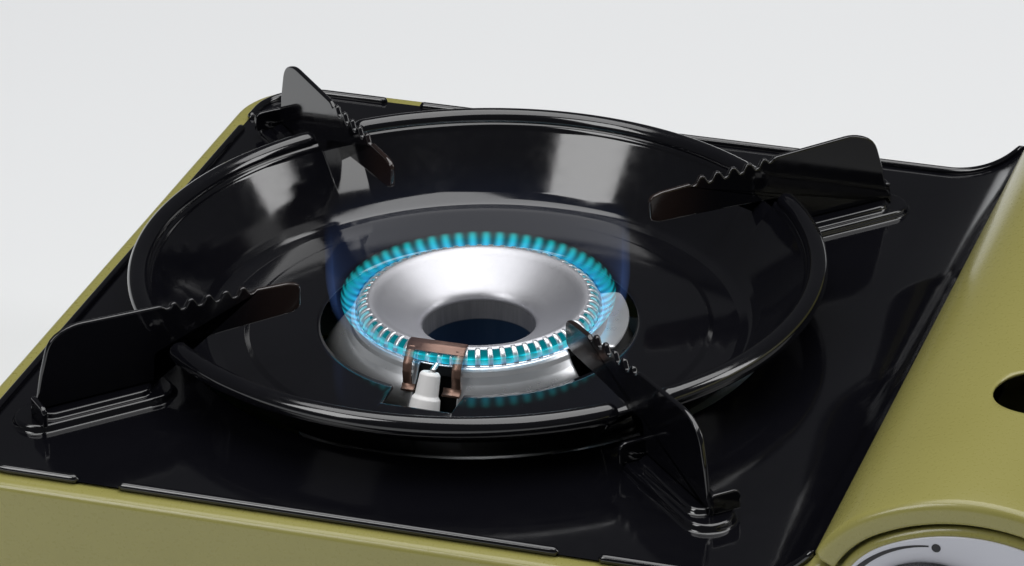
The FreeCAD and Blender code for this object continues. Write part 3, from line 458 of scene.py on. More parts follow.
def blade(outline, half, edge, steps=4):
    """A flat blade from an outline in the (u, w) plane: rows at v = -half..half, with quarter-round edges."""
    turn = np.linspace(0, math.pi / 2, steps + 1)
    rows = []
    for v, t in [(-1, t) for t in turn] + [(1, t) for t in turn[::-1]]:
        d = edge * (1 - math.sin(t))
        ring = inset(outline, d)
        y = np.full(len(ring), v * (half - edge + edge * math.cos(t)))
        rows.append(np.stack([ring[:, 0], y, ring[:, 1]], -1))
    pts = np.stack(rows)
    n = pts.shape[1]
    skin = grid(pts, wrap_cols=True)
    lids = [(pts[0], [list(range(n))]), (pts[-1], [list(range(n))[::-1]])]
    return skin, lids


def closed_line(points, radii, steps=4):
    """A closed outline with rounded corners: the line is run past its start and trimmed back."""
    p = [tuple(q) for q in points]
    middle = ((p[0][0] + p[1][0]) / 2, (p[0][1] + p[1][1]) / 2)
    r = list(np.broadcast_to(radii, (len(p),)))
    return smooth_line([middle] + p[1:] + [p[0], middle], [0] + r[1:] + [r[0], 0], steps)[:-1]


TEETH = 5
TOOTH_PITCH = 5.5
TAB_IN = (105.5, 107.1)
TAB_OUT = (142.9, 144.5)
FOOT_Z, FOOT_TOP = 93.05, 94.65
tip = [(61.5, 106.0), (58.6, 107.2), (58.3, 114.9), (62.6, 115.9), (72.4, 116.3)]
teeth = []
for k in range(TEETH):
    r0 = 72.6 + TOOTH_PITCH * k
    z0 = 115.6 + 0.14 * k
    teeth += [(r0 + 0.9, z0 - 0.3), (r0 + 2.0, z0 + 0.1), (r0 + 3.4, z0 + 2.5), (r0 + 4.9, z0 + 2.3)]
back = [(100.3, 116.9), (102.4, 118.5), (130.6, 119.5), (138.0, 116.4), (141.0, 106.0), (142.6, 98.2),
        (TAB_OUT[1], 95.6)]
foot = [(TAB_OUT[1], FOOT_Z), (TAB_OUT[0], FOOT_Z), (TAB_OUT[0], FOOT_TOP), (TAB_IN[1], FOOT_TOP),
        (TAB_IN[1], FOOT_Z), (TAB_IN[0], FOOT_Z), (TAB_IN[0], 103.8)]
belly = [(98.0, 104.4), (84.0, 105.2)]
support_line = tip + teeth + back + foot + belly
corner_r = [6, 2.0, 2.4, 8, 0.4] + [0.7, 0.7, 0.8, 0.8] * TEETH + [0.8, 3.0, 14, 9, 20, 4, 1.5]
corner_r += [0.3] * 6 + [2.0, 6, 20]
support_outline = closed_line(support_line[::-1], corner_r[::-1], 4)
print("support outline points:", len(support_outline))

# %% [markdown]
# The two tabs are folded off the foot at a right angle, one to each side, so the blade can't rock.
# Each is a small rounded plate. Where the sheet is folded it keeps a soft inner corner.

# %% Four supports about the burner
def tab(r0, r1, side, z0, z1, reach):
    """A folded tab: a rounded rectangle in the plane across the blade, with the blade's thickness."""
    out = closed_line([(0.0, z0), (reach, z0), (reach, z1), (0.0, z1)], [0.2, 0.6, 2.2, 0.8], 5)
    skin, lids = blade(out, (r1 - r0) / 2, 0.5)
    moved = []
    for pts, faces in [skin] + lids:
        q = np.stack([pts[:, 1] + (r0 + r1) / 2, pts[:, 0] * side, pts[:, 2]], -1)
        moved.append((q, faces))
    return moved


def support_surfaces(degrees):
    """The blade and its two tabs, stood on the ray at the given angle."""
    skin, lids = blade(support_outline, 0.8, 0.55)
    parts = [skin] + lids + tab(*TAB_IN, -1, FOOT_Z, 99.6, 9.0) + tab(*TAB_OUT, 1, FOOT_Z, 99.4, 9.2)
    return [(spin(pts, degrees), faces) for pts, faces in parts]


HEAT_NONE, HEAT_FULL = 0.084, 0.062
support_paint = black.copy()
support_paint.name = "black_enamel_heated_tips"
tree = support_paint.node_tree
to_burner = {"Vector": place_in(tree), "Location": (-BURNER_X * MM, -BURNER_Y * MM, 0)}
from_burner = add(tree, "ShaderNodeMapping", to_burner).outputs["Vector"]
level = add(tree, "ShaderNodeVectorMath", {0: from_burner, 1: (1, 1, 0)}, operation="MULTIPLY")
reach = add(tree, "ShaderNodeVectorMath", {0: level.outputs["Vector"]}, operation="LENGTH")
heat = ramp(tree, reach.outputs["Value"], HEAT_NONE, HEAT_FULL, interpolation_type="SMOOTHSTEP")
tint(support_paint, heat, (0.022, 0.013, 0.011))

for k, a in enumerate(CORNERS):
    name = f"pot_support_blade_{k + 1}"
    piece(name, support_surfaces(a), "grate", (f"pot_support_{k + 1}",), support_paint)
print("supports:", len(CORNERS))

# %% [markdown]
# ## The top plate
# The top plate is one sheet: flat round the bowl, turned down at the hole, and rising in a quarter
# curve where it meets the cartridge cover. From above it is a height for every place, so its rows run
# out from the hole to the plate's edge, and the height is worked out from x alone.

# %% Plate, hole and rise
DECK = 90.8
SWEEP_X = 113.5
SWEEP_R = 31.0
PLATE_X = (-115.4, 139.4)
PLATE_Y = (-130.4, 132.4)
PLATE_ROUND = 17.7
RECESS = 90.0


def rise(x):
    """Height of the plate: flat, then the lower quarter of a circle of radius SWEEP_R from SWEEP_X on."""
    d = np.clip(x - SWEEP_X, 0, SWEEP_R - 0.5)
    return DECK + SWEEP_R - np.sqrt(SWEEP_R ** 2 - d ** 2)


def edge_distance(angle):
    """Distance from the burner's axis to the plate's outline along a ray; both left corners are round."""
    c, s = np.cos(angle), np.sin(angle)
    tx = np.where(c > 0, PLATE_X[1] / np.maximum(c, 1e-9), PLATE_X[0] / np.minimum(c, -1e-9))
    ty = np.where(s > 0, PLATE_Y[1] / np.maximum(s, 1e-9), PLATE_Y[0] / np.minimum(s, -1e-9))
    t = np.minimum(tx, ty)
    for cy in (PLATE_Y[0] + PLATE_ROUND, PLATE_Y[1] - PLATE_ROUND):
        cx = PLATE_X[0] + PLATE_ROUND
        inside = (t * c < cx) & (np.sign(cy) * (t * s - cy) > 0)
        b = cx * c + cy * s
        q = np.maximum(b * b - (cx * cx + cy * cy - PLATE_ROUND ** 2), 0)
        t = np.where(inside, b + np.sqrt(q), t)
    return t


ray = np.radians(np.arange(0, 360, 0.75))
corner_rays = [math.atan2(y, PLATE_X[1]) for y in PLATE_Y] + [math.atan2(y, SWEEP_X) for y in PLATE_Y]
ray = np.unique(np.concatenate([ray, np.mod(corner_rays, 2 * math.pi)]))
out = edge_distance(ray)
lip = smooth_line([(RECESS + 0.2, 86.6), (RECESS + 0.2, DECK), (RECESS + 6, DECK)], [0, 1.5, 0], 6)
t = np.linspace(0, 1, 46)[1:, None]
deck_r = (RECESS + 6) + (out[None, :] - RECESS - 6) * t
deck_points = np.stack([deck_r * np.cos(ray), deck_r * np.sin(ray), rise(deck_r * np.cos(ray))], -1)
lip_points = np.stack([lip[:, :1] * np.cos(ray), lip[:, :1] * np.sin(ray), lip[:, 1:] + 0 * ray], -1)
deck = facing(grid(np.concatenate([lip_points, deck_points]), wrap_cols=True), (0, 0, 1))
print("plate points:", len(deck[0]), "highest mm:", round(float(deck[0][:, 2].max()), 1))

# %% [markdown]
# Under each support the plate is pressed up in two steps, so that the foot can't slide. A raised pad
# is a racetrack outline whose rings climb and draw in with a small round at the foot and at the top.

# %% Raised pads
def racetrack(r0, r1, half, grow, count=26):
    """Outline of two half circles joined by straight sides, grown outwards, on the +X ray."""
    a = np.linspace(-math.pi / 2, math.pi / 2, count)
    h = half + grow
    right = np.stack([r1 - half + h * np.cos(a), h * np.sin(a)], -1)
    left = np.stack([r0 + half - h * np.cos(a), -h * np.sin(a)], -1)
    side = np.linspace(right[-1], left[0], 9)[1:-1]
    other = np.linspace(left[-1], right[0], 9)[1:-1]
    return np.concatenate([right, side, left, other])


def pad(r0, r1, half, low_z, high_z, degrees):
    """Rings from the plate up to the pad's flat top, then the flat top as one face."""
    h = high_z - low_z
    steps = [(1.1, 0.01), (0.7, 0.06), (0.35, 0.2 * h), (0.1, 0.5 * h), (-0.15, 0.8 * h), (-0.5, 0.96 * h),
             (-1.0, h)]
    rings = [racetrack(r0, r1, half, g) for g, _ in steps]
    levels = [low_z + z for _, z in steps]
    pts = np.stack([np.column_stack([ring, np.full(len(ring), z)]) for ring, z in zip(rings, levels)])
    pts = spin(pts.reshape(-1, 3), degrees).reshape(pts.shape)
    n = pts.shape[1]
    return [facing(grid(pts, wrap_cols=True), (0, 0, 1)), (pts[-1], [list(range(n))])]


pads = []
for a in CORNERS:
    pads += pad(100.5, 149.5, 7.6, DECK, 93.0, a)
    pads += pad(107.3, 142.7, 4.8, 93.0, 94.6, a)
print("pads:", len(CORNERS) * 2)

# %% [markdown]
# The plate's edge is rolled into a thin bead that lies on the olive ledge. It has short gaps at the
# front, at the back and on the left side. The bead is a tube along the plate's outline: the frame that
# carries the circle is the path's own sideways direction and straight up.

# %% Rolled edge of the plate
BEAD = 1.35
BEAD_UP = 0.45
EDGE_STEP = 0.8
GAP_X, GAP_HALF = (-70.0, 72.0), 5.5
SIDE_GAP_Y, SIDE_GAP_HALF = 104.0, 3.0


def arc_points(cx, cy, r, a0, a1, count):
    """Points (x, y) on a circle's arc, from one angle to another in degrees."""
    a = np.radians(np.linspace(a0, a1, count))
    return np.stack([cx + r * np.cos(a), cy + r * np.sin(a)], -1)


def plate_edge():
    """The outline from the rise at the front, round the left side and back to the rise, evenly stepped."""
    x0, x1 = PLATE_X[0] + 0.5, PLATE_X[1] - 1.0
    y0, y1 = PLATE_Y[0] + 0.5, PLATE_Y[1] - 0.5
    r = PLATE_ROUND
    near_arc = arc_points(x0 + r, y0 + r, r, 270, 180, 24)
    far_arc = arc_points(x0 + r, y1 - r, r, 180, 90, 24)
    line = np.concatenate([[(x1, y0)], near_arc, far_arc, [(x1, y1)]])
    s = np.concatenate([[0], np.cumsum(np.linalg.norm(np.diff(line, axis=0), axis=1))])
    even_s = np.arange(0, s[-1], EDGE_STEP)
    return np.stack([np.interp(even_s, s, line[:, 0]), np.interp(even_s, s, line[:, 1])], -1)


def tube_along(path, radius, round_steps=12):
    """Tube with its own radius at each point of a path: circle in the plane of sideways and up."""
    d = np.gradient(path, axis=0)
    d /= np.linalg.norm(d, axis=1)[:, None]
    side = np.cross(d, (0, 0, 1.0))
    side /= np.linalg.norm(side, axis=1)[:, None]
    up = np.cross(side, d)
    a = np.linspace(0, 2 * math.pi, round_steps, endpoint=False)
    ring = side[:, None] * np.cos(a)[:, None] + up[:, None] * np.sin(a)[:, None]
    return grid(path[:, None] + ring * np.asarray(radius)[:, None, None], wrap_cols=True)


def toward_outside(path):
    """Vectors from the nearest point of a path out to the points."""
    def aim(p):
        k = ((p[:, None] - path[None, ::6]) ** 2).sum(-1).argmin(1)
        return p - path[::6][k]
    return aim


edge_xy = plate_edge()
edge_path = np.column_stack([edge_xy, rise(edge_xy[:, 0]) + BEAD_UP])
gap = (np.abs(edge_path[:, 1] - SIDE_GAP_Y) < SIDE_GAP_HALF) & (edge_path[:, 0] < -100)
for gx in GAP_X:
    gap |= (np.abs(edge_path[:, 0] - gx) < GAP_HALF) & (np.abs(edge_path[:, 1]) > 100)
cuts = np.flatnonzero(np.diff(gap.astype(int)))
edge_beads = []
for run in np.split(np.arange(len(gap)), cuts + 1):
    if gap[run[0]] or len(run) < 4:
        continue
    path = edge_path[run]
    s = np.arange(len(run)) * EDGE_STEP
    near_end = np.minimum(s, s[-1] - s)
    thick = BEAD * np.sqrt(np.clip(1 - np.clip(1 - near_end / BEAD, 0, 1) ** 2, 0.0004, 1))
    edge_beads.append(facing(tube_along(path, thick), toward_outside(path)))
piece("top_plate_sheet", [deck] + pads, "stove_body", ("top_plate",), black)
piece("top_plate_bead", edge_beads, "stove_body", (), black)
print("bead runs:", len(edge_beads))

# %% [markdown]
# ## The olive body
# The body is a pressed wrap with a soft upper edge. Its edge runs level round the burner side, climbs
# in a curve beside the top plate and then follows the arch of the cartridge bay. One path with two
# directions at each point, outwards and upwards, describes all of it.

# %% The arch over the cartridge bay
COVER_TOP = 129.0
LEFT_R, MAIN_R, RIGHT_R = 34.0, 62.0, 24.0
START_X, JOIN_X, SHOULDER_X = 140.0, 154.0, 195.0
MAIN_C = (184.0, COVER_TOP - MAIN_R)
JOIN = math.acos((JOIN_X - MAIN_C[0]) / MAIN_R)
LEFT_C = (MAIN_C[0] + (MAIN_R - LEFT_R) * math.cos(JOIN), MAIN_C[1] + (MAIN_R - LEFT_R) * math.sin(JOIN))
START = math.acos((START_X - LEFT_C[0]) / LEFT_R)
SHOULDER = math.acos((SHOULDER_X - MAIN_C[0]) / (MAIN_R - RIGHT_R))
RIGHT_C = (SHOULDER_X, MAIN_C[1] + (MAIN_R - RIGHT_R) * math.sin(SHOULDER))
ARCS = ((LEFT_C, LEFT_R, START, JOIN), (MAIN_C, MAIN_R, JOIN, SHOULDER), (RIGHT_C, RIGHT_R, SHOULDER, 0))


def arch(inside=0.0, counts=(12, 26, 18)):
    """Points (x, z) and outward normals along three tangent arcs, drawn in by the given distance."""
    pts = []
    normals = []
    for (c, r, a0, a1), n in zip(ARCS, counts):
        a = np.linspace(a0, a1, n + 1)[(1 if pts else 0):]
        n2 = np.stack([np.cos(a), np.sin(a)], -1)
        pts.append(np.array(c) + (r - inside) * n2)
        normals.append(n2)
    return np.concatenate(pts), np.concatenate(normals)


print("arch from x", round(float(arch()[0][0][0]), 1), "to", round(float(arch()[0][-1][0]), 1))

# %% [markdown]
# The strip round the top is swept along that path. Its cross-section starts on the wall, turns over a
# round of about two millimetres and lies down as the ledge on which the plate rests. Below it the front
# and back are flat panels, and the sides are plain strips down to the rubber feet.

# %% Edge strip and walls of the body
X0, X1, Y0, Y1 = -122.0, 219.0, -137.0, 139.0
R_LEFT, R_RIGHT = 25.0, 7.0
EDGE_R = 2.4
LEDGE_IN = 10.0
EDGE_Z, RIGHT_EDGE_Z = 90.0, 93.0
CLIMB_R, CLIMB_X = 31.8, 139.0
LIP_IN = 7.6
STRIP_DROP = 6.0
CORNER_STEPS = 14
BASE = 8.0


def front_line():
    """The body's upper edge seen from the front, as (x, z), from the left corner to the right one."""
    flat_part = np.stack([np.linspace(X0 + R_LEFT, SWEEP_X, 40), np.full(40, EDGE_Z)], -1)
    a = np.linspace(0, math.asin((CLIMB_X - SWEEP_X) / CLIMB_R), 16)[1:]
    climb = np.stack([SWEEP_X + CLIMB_R * np.sin(a), EDGE_Z + CLIMB_R - CLIMB_R * np.cos(a)], -1)
    over = arch(LIP_IN)[0]
    x = over[-1][0]
    end = np.array([(x, 98.0), (x, 94.2), (x + 0.5, RIGHT_EDGE_Z), (X1 - R_RIGHT, RIGHT_EDGE_Z)])
    shelf = np.array([(141.6, 103.0), (144.6, 102.6)])
    return np.concatenate([flat_part, climb, shelf, over[1:], end])


def path_normals(line):
    """Unit normals on the upper side of a path in the X-Z plane."""
    d = np.gradient(line, axis=0)
    n = np.stack([-d[:, 1], d[:, 0]], -1)
    return n / np.linalg.norm(n, axis=1)[:, None]


def corner(cx, cy, r, a0, a1, z):
    """One upright corner: its points, its outward and its upward directions, as for a straight edge."""
    a = np.radians(np.linspace(a0, a1, CORNER_STEPS))
    o = np.stack([np.cos(a), np.sin(a), 0 * a], -1)
    return np.array([cx, cy, z]) + r * o, o, np.broadcast_to([0.0, 0.0, 1.0], o.shape)


fl = front_line()
fn = path_normals(fl)
up_front = np.stack([fn[:, 0], 0 * fn[:, 0], fn[:, 1]], -1)


def straight(y, outward):
    """The front or rear edge at y: its points, its outward and its upward directions."""
    points = np.column_stack([fl[:, 0], np.full(len(fl), y), fl[:, 1]])
    return points, np.broadcast_to([0.0, outward, 0.0], up_front.shape), up_front


def wall(which, heights):
    """A plain wall that hangs from some of the edge's points, with one row at each height."""
    tops = (P - STRIP_DROP * U)[which][:, :2]
    return np.stack([np.column_stack([tops, np.full(len(tops), z)]) for z in heights])


left_x, right_x = X0 + R_LEFT, X1 - R_RIGHT
legs = [
    corner(left_x, Y0 + R_LEFT, R_LEFT, 180, 270, EDGE_Z), straight(Y0, -1.0),
    corner(right_x, Y0 + R_RIGHT, R_RIGHT, 270, 360, RIGHT_EDGE_Z),
    corner(right_x, Y1 - R_RIGHT, R_RIGHT, 0, 90, RIGHT_EDGE_Z), [a[::-1] for a in straight(Y1, 1.0)],
    corner(left_x, Y1 - R_LEFT, R_LEFT, 90, 180, EDGE_Z)]
P, O, U = (np.concatenate([leg[k] for leg in legs]) for k in range(3))
turn = np.linspace(0, math.pi / 2, 8)
section = [(0.0, -STRIP_DROP), (0.0, -4.0)]
section += [(EDGE_R * math.cos(t) - EDGE_R, EDGE_R * math.sin(t) - EDGE_R) for t in turn]
section += [(-4.0, 0.0), (-LEDGE_IN, 0.0), (-LEDGE_IN - 0.4, -0.8)]
strip = facing(grid(np.stack([P + o * O + u * U for o, u in section]), wrap_cols=True), (0, 0, 1))
left_side = np.concatenate([np.arange(len(P) - CORNER_STEPS, len(P)), np.arange(0, CORNER_STEPS)])
right_side = CORNER_STEPS + len(fl) + np.arange(2 * CORNER_STEPS)
foot_rows = (60.0, BASE + 1.5, BASE)
walls = [wall(left_side, (84.0, 83.0) + foot_rows), wall(right_side, (87.0,) + foot_rows)]
low_line = fl - STRIP_DROP * fn
panels = []
for y in (Y0, Y1):
    upper = np.column_stack([low_line[:, 0], np.full(len(fl), y), low_line[:, 1]])
    outline = np.concatenate([upper, [(right_x, y, BASE), (left_x, y, BASE)]])
    order = list(range(len(outline)))
    panels.append((outline, [order[::-1] if y < 0 else order]))
body_skins = [strip] + [facing(grid(w), from_axis) for w in walls] + panels
piece("body_wrap", body_skins, "stove_body", ("body_shell",), olive, weld=0.02)
print("body strip points:", len(strip[0]))

# %% [markdown]
# ## The cartridge cover
# The cover is the same arch, outside the body's edge, with its two ends turned in as a narrow flange.
# A round vent is punched near the front. To leave a true circle in a square grid, a patch of the grid
# is replaced by rings that run from the square's own border to the circle.

# %% Cover, end flanges and vent
FLANGE = 6.6
VENT_X, VENT_Y, VENT_R = 186.0, -72.0, 12.5
PATCH_X, PATCH_Y = (168.0, 204.0), (-90.0, -54.0)
END_R = 2.6
PUSH_X, PUSH_R = 211.0, 8.0
WALL_Z = (101.0, 98.5, 96.2)


def cover_height(x):
    """Height of the arch over a place x on its upper part."""
    main = MAIN_C[1] + np.sqrt(np.maximum(MAIN_R ** 2 - (x - MAIN_C[0]) ** 2, 0))
    last = RIGHT_C[1] + np.sqrt(np.maximum(RIGHT_R ** 2 - (x - RIGHT_C[0]) ** 2, 0))
    return np.where(x > SHOULDER_X, last, main)


def end_push(x):
    """How far an end is drawn in at x, so that the two right corners are round in plan."""
    return PUSH_R - np.sqrt(PUSH_R ** 2 - np.clip(x - PUSH_X, 0, PUSH_R) ** 2)


def cover_rows():
    """Arch points and normals with rows exactly on the patch's two sides, then the wall down to the hinge."""
    p, n = arch(0.0, (16, 40, 24))
    keep = np.all([np.abs(p[:, 0] - x) > 1.0 for x in PATCH_X], 0)
    p, n = p[keep], n[keep]
    extra = []
    for x in PATCH_X:
        c = np.array(MAIN_C if x < SHOULDER_X else RIGHT_C)
        q = np.array([x, float(cover_height(np.array(x)))])
        extra.append((q, (q - c) / np.linalg.norm(q - c)))
    p = np.concatenate([p, [e[0] for e in extra]])
    n = np.concatenate([n, [e[1] for e in extra]])
    order = np.argsort(p[:, 0] - 0.001 * p[:, 1])
    p, n = p[order], n[order]
    wall_pts = np.column_stack([np.full(len(WALL_Z), X1), WALL_Z])
    return np.concatenate([p, wall_pts]), np.concatenate([n, np.broadcast_to([1.0, 0.0], wall_pts.shape)])


def end_line(q, y_end, sign, back_off):
    """Rows q of the cover placed at one end, drawn in where its corners are round."""
    return np.column_stack([q[:, 0], y_end + sign * (end_push(q[:, 0]) + back_off), q[:, 1]])


def from_bay(p):
    """Vectors from the line along the middle of the bay out to the points."""
    return (p - np.array([MAIN_C[0], 0, 60.0])) * np.array([1.0, 0, 1.0])


rows, row_n = cover_rows()
side_y = np.concatenate([[Y0 + END_R], np.linspace(-126, PATCH_Y[0], 5), np.linspace(*PATCH_Y, 10)[1:],
                         np.linspace(PATCH_Y[1], Y1 - END_R, 16)[1:]])
y_lo = Y0 + END_R + end_push(rows[:, 0])
y_hi = Y1 - END_R - end_push(rows[:, 0])
mid_y = np.clip(side_y[None], y_lo[:, None], y_hi[:, None])
mid_pts = np.stack([rows[:, None, 0] + 0 * mid_y, mid_y, rows[:, None, 1] + 0 * mid_y], -1)
verts_mid, quads_mid = grid(mid_pts)
i0, i1 = (int(np.abs(rows[:, 0] - x).argmin()) for x in PATCH_X)
j0, j1 = (int(np.abs(side_y - y).argmin()) for y in PATCH_Y)
cols = len(side_y)
qi, qj = quads_mid[:, 0] // cols, quads_mid[:, 0] % cols
quads_mid = quads_mid[~((qi >= i0) & (qi < i1) & (qj >= j0) & (qj < j1))]
border = [(i, j0) for i in range(i0, i1)] + [(i1, j) for j in range(j0, j1)]
border += [(i, j1) for i in range(i1, i0, -1)] + [(i0, j) for j in range(j1, j0, -1)]
ring_out = np.array([mid_pts[i, j] for i, j in border])
aim = ring_out[:, :2] - np.array([VENT_X, VENT_Y])
aim /= np.linalg.norm(aim, axis=1)[:, None]
ring_in = np.array([VENT_X, VENT_Y]) + VENT_R * aim
patch = []
for t in np.linspace(0, 1, 7):
    xy = ring_out[:, :2] * (1 - t) + ring_in * t
    patch.append(np.column_stack([xy, cover_height(xy[:, 0])]))
patch[0] = ring_out
down = ring_in - 0.25 * aim
patch.append(np.column_stack([down, cover_height(down[:, 0]) - 0.25]))
patch.append(np.column_stack([down, cover_height(down[:, 0]) - 0.9]))
vent = facing(grid(np.stack(patch), wrap_cols=True), (0, 0, 1))
ends = []
for y_end, sign in ((Y0, 1), (Y1, -1)):
    lines = []
    for t in np.linspace(math.pi / 2, 0, 7):
        q = rows - END_R * (1 - math.sin(t)) * row_n
        lines.append(end_line(q, y_end, sign, END_R * (1 - math.cos(t))))
    for d, back_off in ((END_R + 0.8, 0.0), (FLANGE - 1.2, 0.0), (FLANGE - 0.35, 0.1), (FLANGE, 0.7)):
        lines.append(end_line(rows - d * row_n, y_end, sign, back_off))
    ends.append(facing(grid(np.stack(lines)), (0, -sign, 0)))
cover_skins = [facing((verts_mid, quads_mid), from_bay), vent] + ends
piece("cover_arch", cover_skins, "cover", ("cartridge_cover",), olive, wall=0.9, weld=0.02)
print("cover rows:", len(rows), "vent border points:", len(border))

# %% [markdown]
# ## The burner
# The burner is a stack of pressed rings. The cap is dished and its satin surface is speckled from the
# press. Sixty slots in the ring beneath it are the ports, so the ring is drawn as sixty short bars.

# %% Cap, inner tube and ring of ports
# Heights in metres where the painted shade deep in the throat starts and where it is full.
THROAT_SHADE_START, THROAT_SHADE_FULL = 0.0794, 0.0790
cap_line = eased([(17.1, 84.4), (17.1, 86.6), (19.0, 88.6), (23.5, 91.0), (28.5, 93.9), (31.0, 95.6),
                  (33.0, 96.1), (33.9, 95.6)], 4)
dish = facing(turned(cap_line, count=180), (0, 0, 1))
piece("burner_cap_dish", [dish], "stove_body", ("burner_cap",), cap_steel, wall=0.5)
tube_line = [(17.0, 60.9), (17.0, 79.2), (17.0, 85.4)]
inner = facing(turned(tube_line, count=120), lambda p: -from_axis(p))
piece("burner_throat_tube", [inner], "stove_body", ("burner_inner_tube",), throat_steel)
tree = throat_steel.node_tree
height = add(tree, "ShaderNodeSeparateXYZ", {"Vector": place_in(tree)}).outputs["Z"]
# Painted shade: below 79 mm the tube's tone is blended to a dark blue, for the darkness deep in the throat.
tint(throat_steel, ramp(tree, height, THROAT_SHADE_START, THROAT_SHADE_FULL), (0.012, 0.03, 0.055))
PORTS = 60
BAR_HALF = 0.82
ring_line = eased([(33.3, 95.9), (34.6, 95.8), (36.3, 94.6), (37.1, 92.9), (37.3, 91.3)], 2)


def bars():
    """Sixty bars: the ring's curved line given a width, with its two sides turned down."""
    across = np.array([(-1.0, -0.55), (-0.92, -0.12), (-0.7, 0.0), (0.7, 0.0), (0.92, -0.12), (1.0, -0.55)])
    d = np.gradient(ring_line, axis=0)
    n = np.stack([-d[:, 1], d[:, 0]], -1)
    n /= np.linalg.norm(n, axis=1)[:, None]
    n *= np.sign(n[:, 1:2].mean())
    r = ring_line[:, None, 0] + n[:, None, 0] * across[None, :, 1]
    z = ring_line[:, None, 1] + n[:, None, 1] * across[None, :, 1]
    side = BAR_HALF * across[None, :, 0] + 0 * r
    a = (2 * math.pi * np.arange(PORTS) / PORTS)[:, None, None]
    pts = np.stack([r * np.cos(a) - side * np.sin(a), r * np.sin(a) + side * np.cos(a), z + 0 * a], -1)
    return [grid(block) for block in pts]


bottom = [(36.9, 91.7), (37.4, 91.6), (37.45, 91.2), (36.6, 90.9), (33.0, 91.2)]
floor_ring = facing(turned(bottom, count=180), (0, 0, 1))
fixed = [facing(b, lambda p: from_axis(p) + np.array([0, 0, 30.0])) for b in bars()]
ring_skins = fixed + [floor_ring]
piece("burner_port_bars", ring_skins, "stove_body", ("burner_port_ring",), skirt_steel)
print("ports:", PORTS, "bar width mm:", BAR_HALF * 2)

# %% [markdown]
# Below the ports a bright skirt flares out towards the bowl. It is cut away at the right, where the
# flame crosses to a small lug, and at the front for the spark. Each cut leaves a square end.

# %% Skirt and lug
SKIRT_ARCS = ((-12.5, 261.0, 260), (279.5, 332.5, 60))
LUG_STEPS = 60
LUG_IN, LUG_OUT, LUG_ROUND = 41.0, 4.4, 0.05
skirt_line = smooth_line([(37.3, 91.5), (37.9, 91.2), (38.6, 90.4), (39.0, 89.0), (40.2, 87.0), (47.0, 78.4)],
                         [0, 0.6, 0.8, 1.0, 4, 0], 4)
arcs = [np.radians(np.linspace(*arc)) for arc in SKIRT_ARCS]
skirts = [facing(turned(skirt_line, a), (0, 0, 1)) for a in arcs]
piece("burner_skirt_flare", skirts, "stove_body", ("burner_skirt",), skirt_steel, wall=0.6)
lug_angle = np.radians(np.linspace(-11, 38, LUG_STEPS))
share = np.linspace(0, 1, LUG_STEPS)
soft = np.minimum(1, np.minimum(share, share[::-1]) / LUG_ROUND)
lug_r = LUG_IN + LUG_OUT * np.sqrt(1 - (1 - soft) ** 2)
lug_rows = [np.column_stack([r * np.cos(lug_angle), r * np.sin(lug_angle), np.full(LUG_STEPS, z)])
            for r, z in ((38.6 + 0 * lug_r, 88.95), (lug_r - 0.4, 88.95), (lug_r, 88.6), (lug_r - 0.1, 88.1))]
lug = facing(grid(np.stack(lug_rows)), (0, 0, 1))
piece("burner_crossing_lug", [lug], "stove_body", ("burner_lug",), skirt_steel)
print("skirt arcs:", len(skirts), "lug rows:", len(lug_rows))

# %% [markdown]
# The spark jumps from a rod in a white ceramic to an earthed bracket on the ring. The bracket is one
# bent strip with two legs and curled feet, tinted brown by the flame. The ceramic is a taper with a
# small shoulder, glazed and so a little shiny.

# %% Spark bracket and ceramic
def ribbon(line, x0, x1, thick=0.8, edge=0.25):
    """A bent strip: a line in the Y-Z plane with thickness, carried from x0 to x1 with eased edges."""
    p = np.asarray(line, float)
    d = np.gradient(p, axis=0)
    n = np.stack([-d[:, 1], d[:, 0]], -1)
    n /= np.linalg.norm(n, axis=1)[:, None]
    h = thick / 2
    w = (x1 - x0) / 2
    middle = (x0 + x1) / 2
    upper = [(-w, h - edge), (-w + edge, h), (w - edge, h), (w, h - edge)]
    ring = upper + [(-u, -v) for u, v in upper]
    pts = np.stack([np.column_stack([np.full(len(p), middle + u), p + v * n]) for u, v in ring], 1)
    skin = facing(grid(pts, wrap_cols=True), lambda q: q - np.array([middle, 0, 0]) - nearest(q, p))
    return [skin, (pts[0], [list(range(8))]), (pts[-1], [list(range(8))[::-1]])]


def nearest(q, line):
    """The line's nearest point, placed in the Y-Z plane, for each point."""
    k = ((q[:, None, 1:] - line[None]) ** 2).sum(-1).argmin(1)
    return np.column_stack([np.zeros(len(q)), line[k]])


leg = smooth_line([(-34.4, 96.6), (-36.6, 96.4), (-40.6, 92.4), (-41.2, 90.0), (-41.2, 84.8)],
                  [0, 1.4, 1.6, 3, 0], 6)
top_bar = smooth_line([(-33.2, 97.0), (-35.6, 97.0), (-37.6, 95.6)], [0, 1.2, 0], 6)
left_foot = ribbon([(-41.2, 86.2), (-41.8, 85.2), (-43.0, 84.8)], -10.2, -6.0)
right_foot = ribbon([(-41.2, 86.4), (-41.8, 85.2), (-43.2, 84.8)], 2.6, 8.2)
bracket_legs = ribbon(leg, -10.0, -7.2) + ribbon(leg, 5.2, 8.0)
bracket = bracket_legs + ribbon(top_bar, -10.0, 8.0) + left_foot + right_foot
piece("spark_earth_bracket", bracket, "stove_body", ("spark_bracket",), brown_steel)


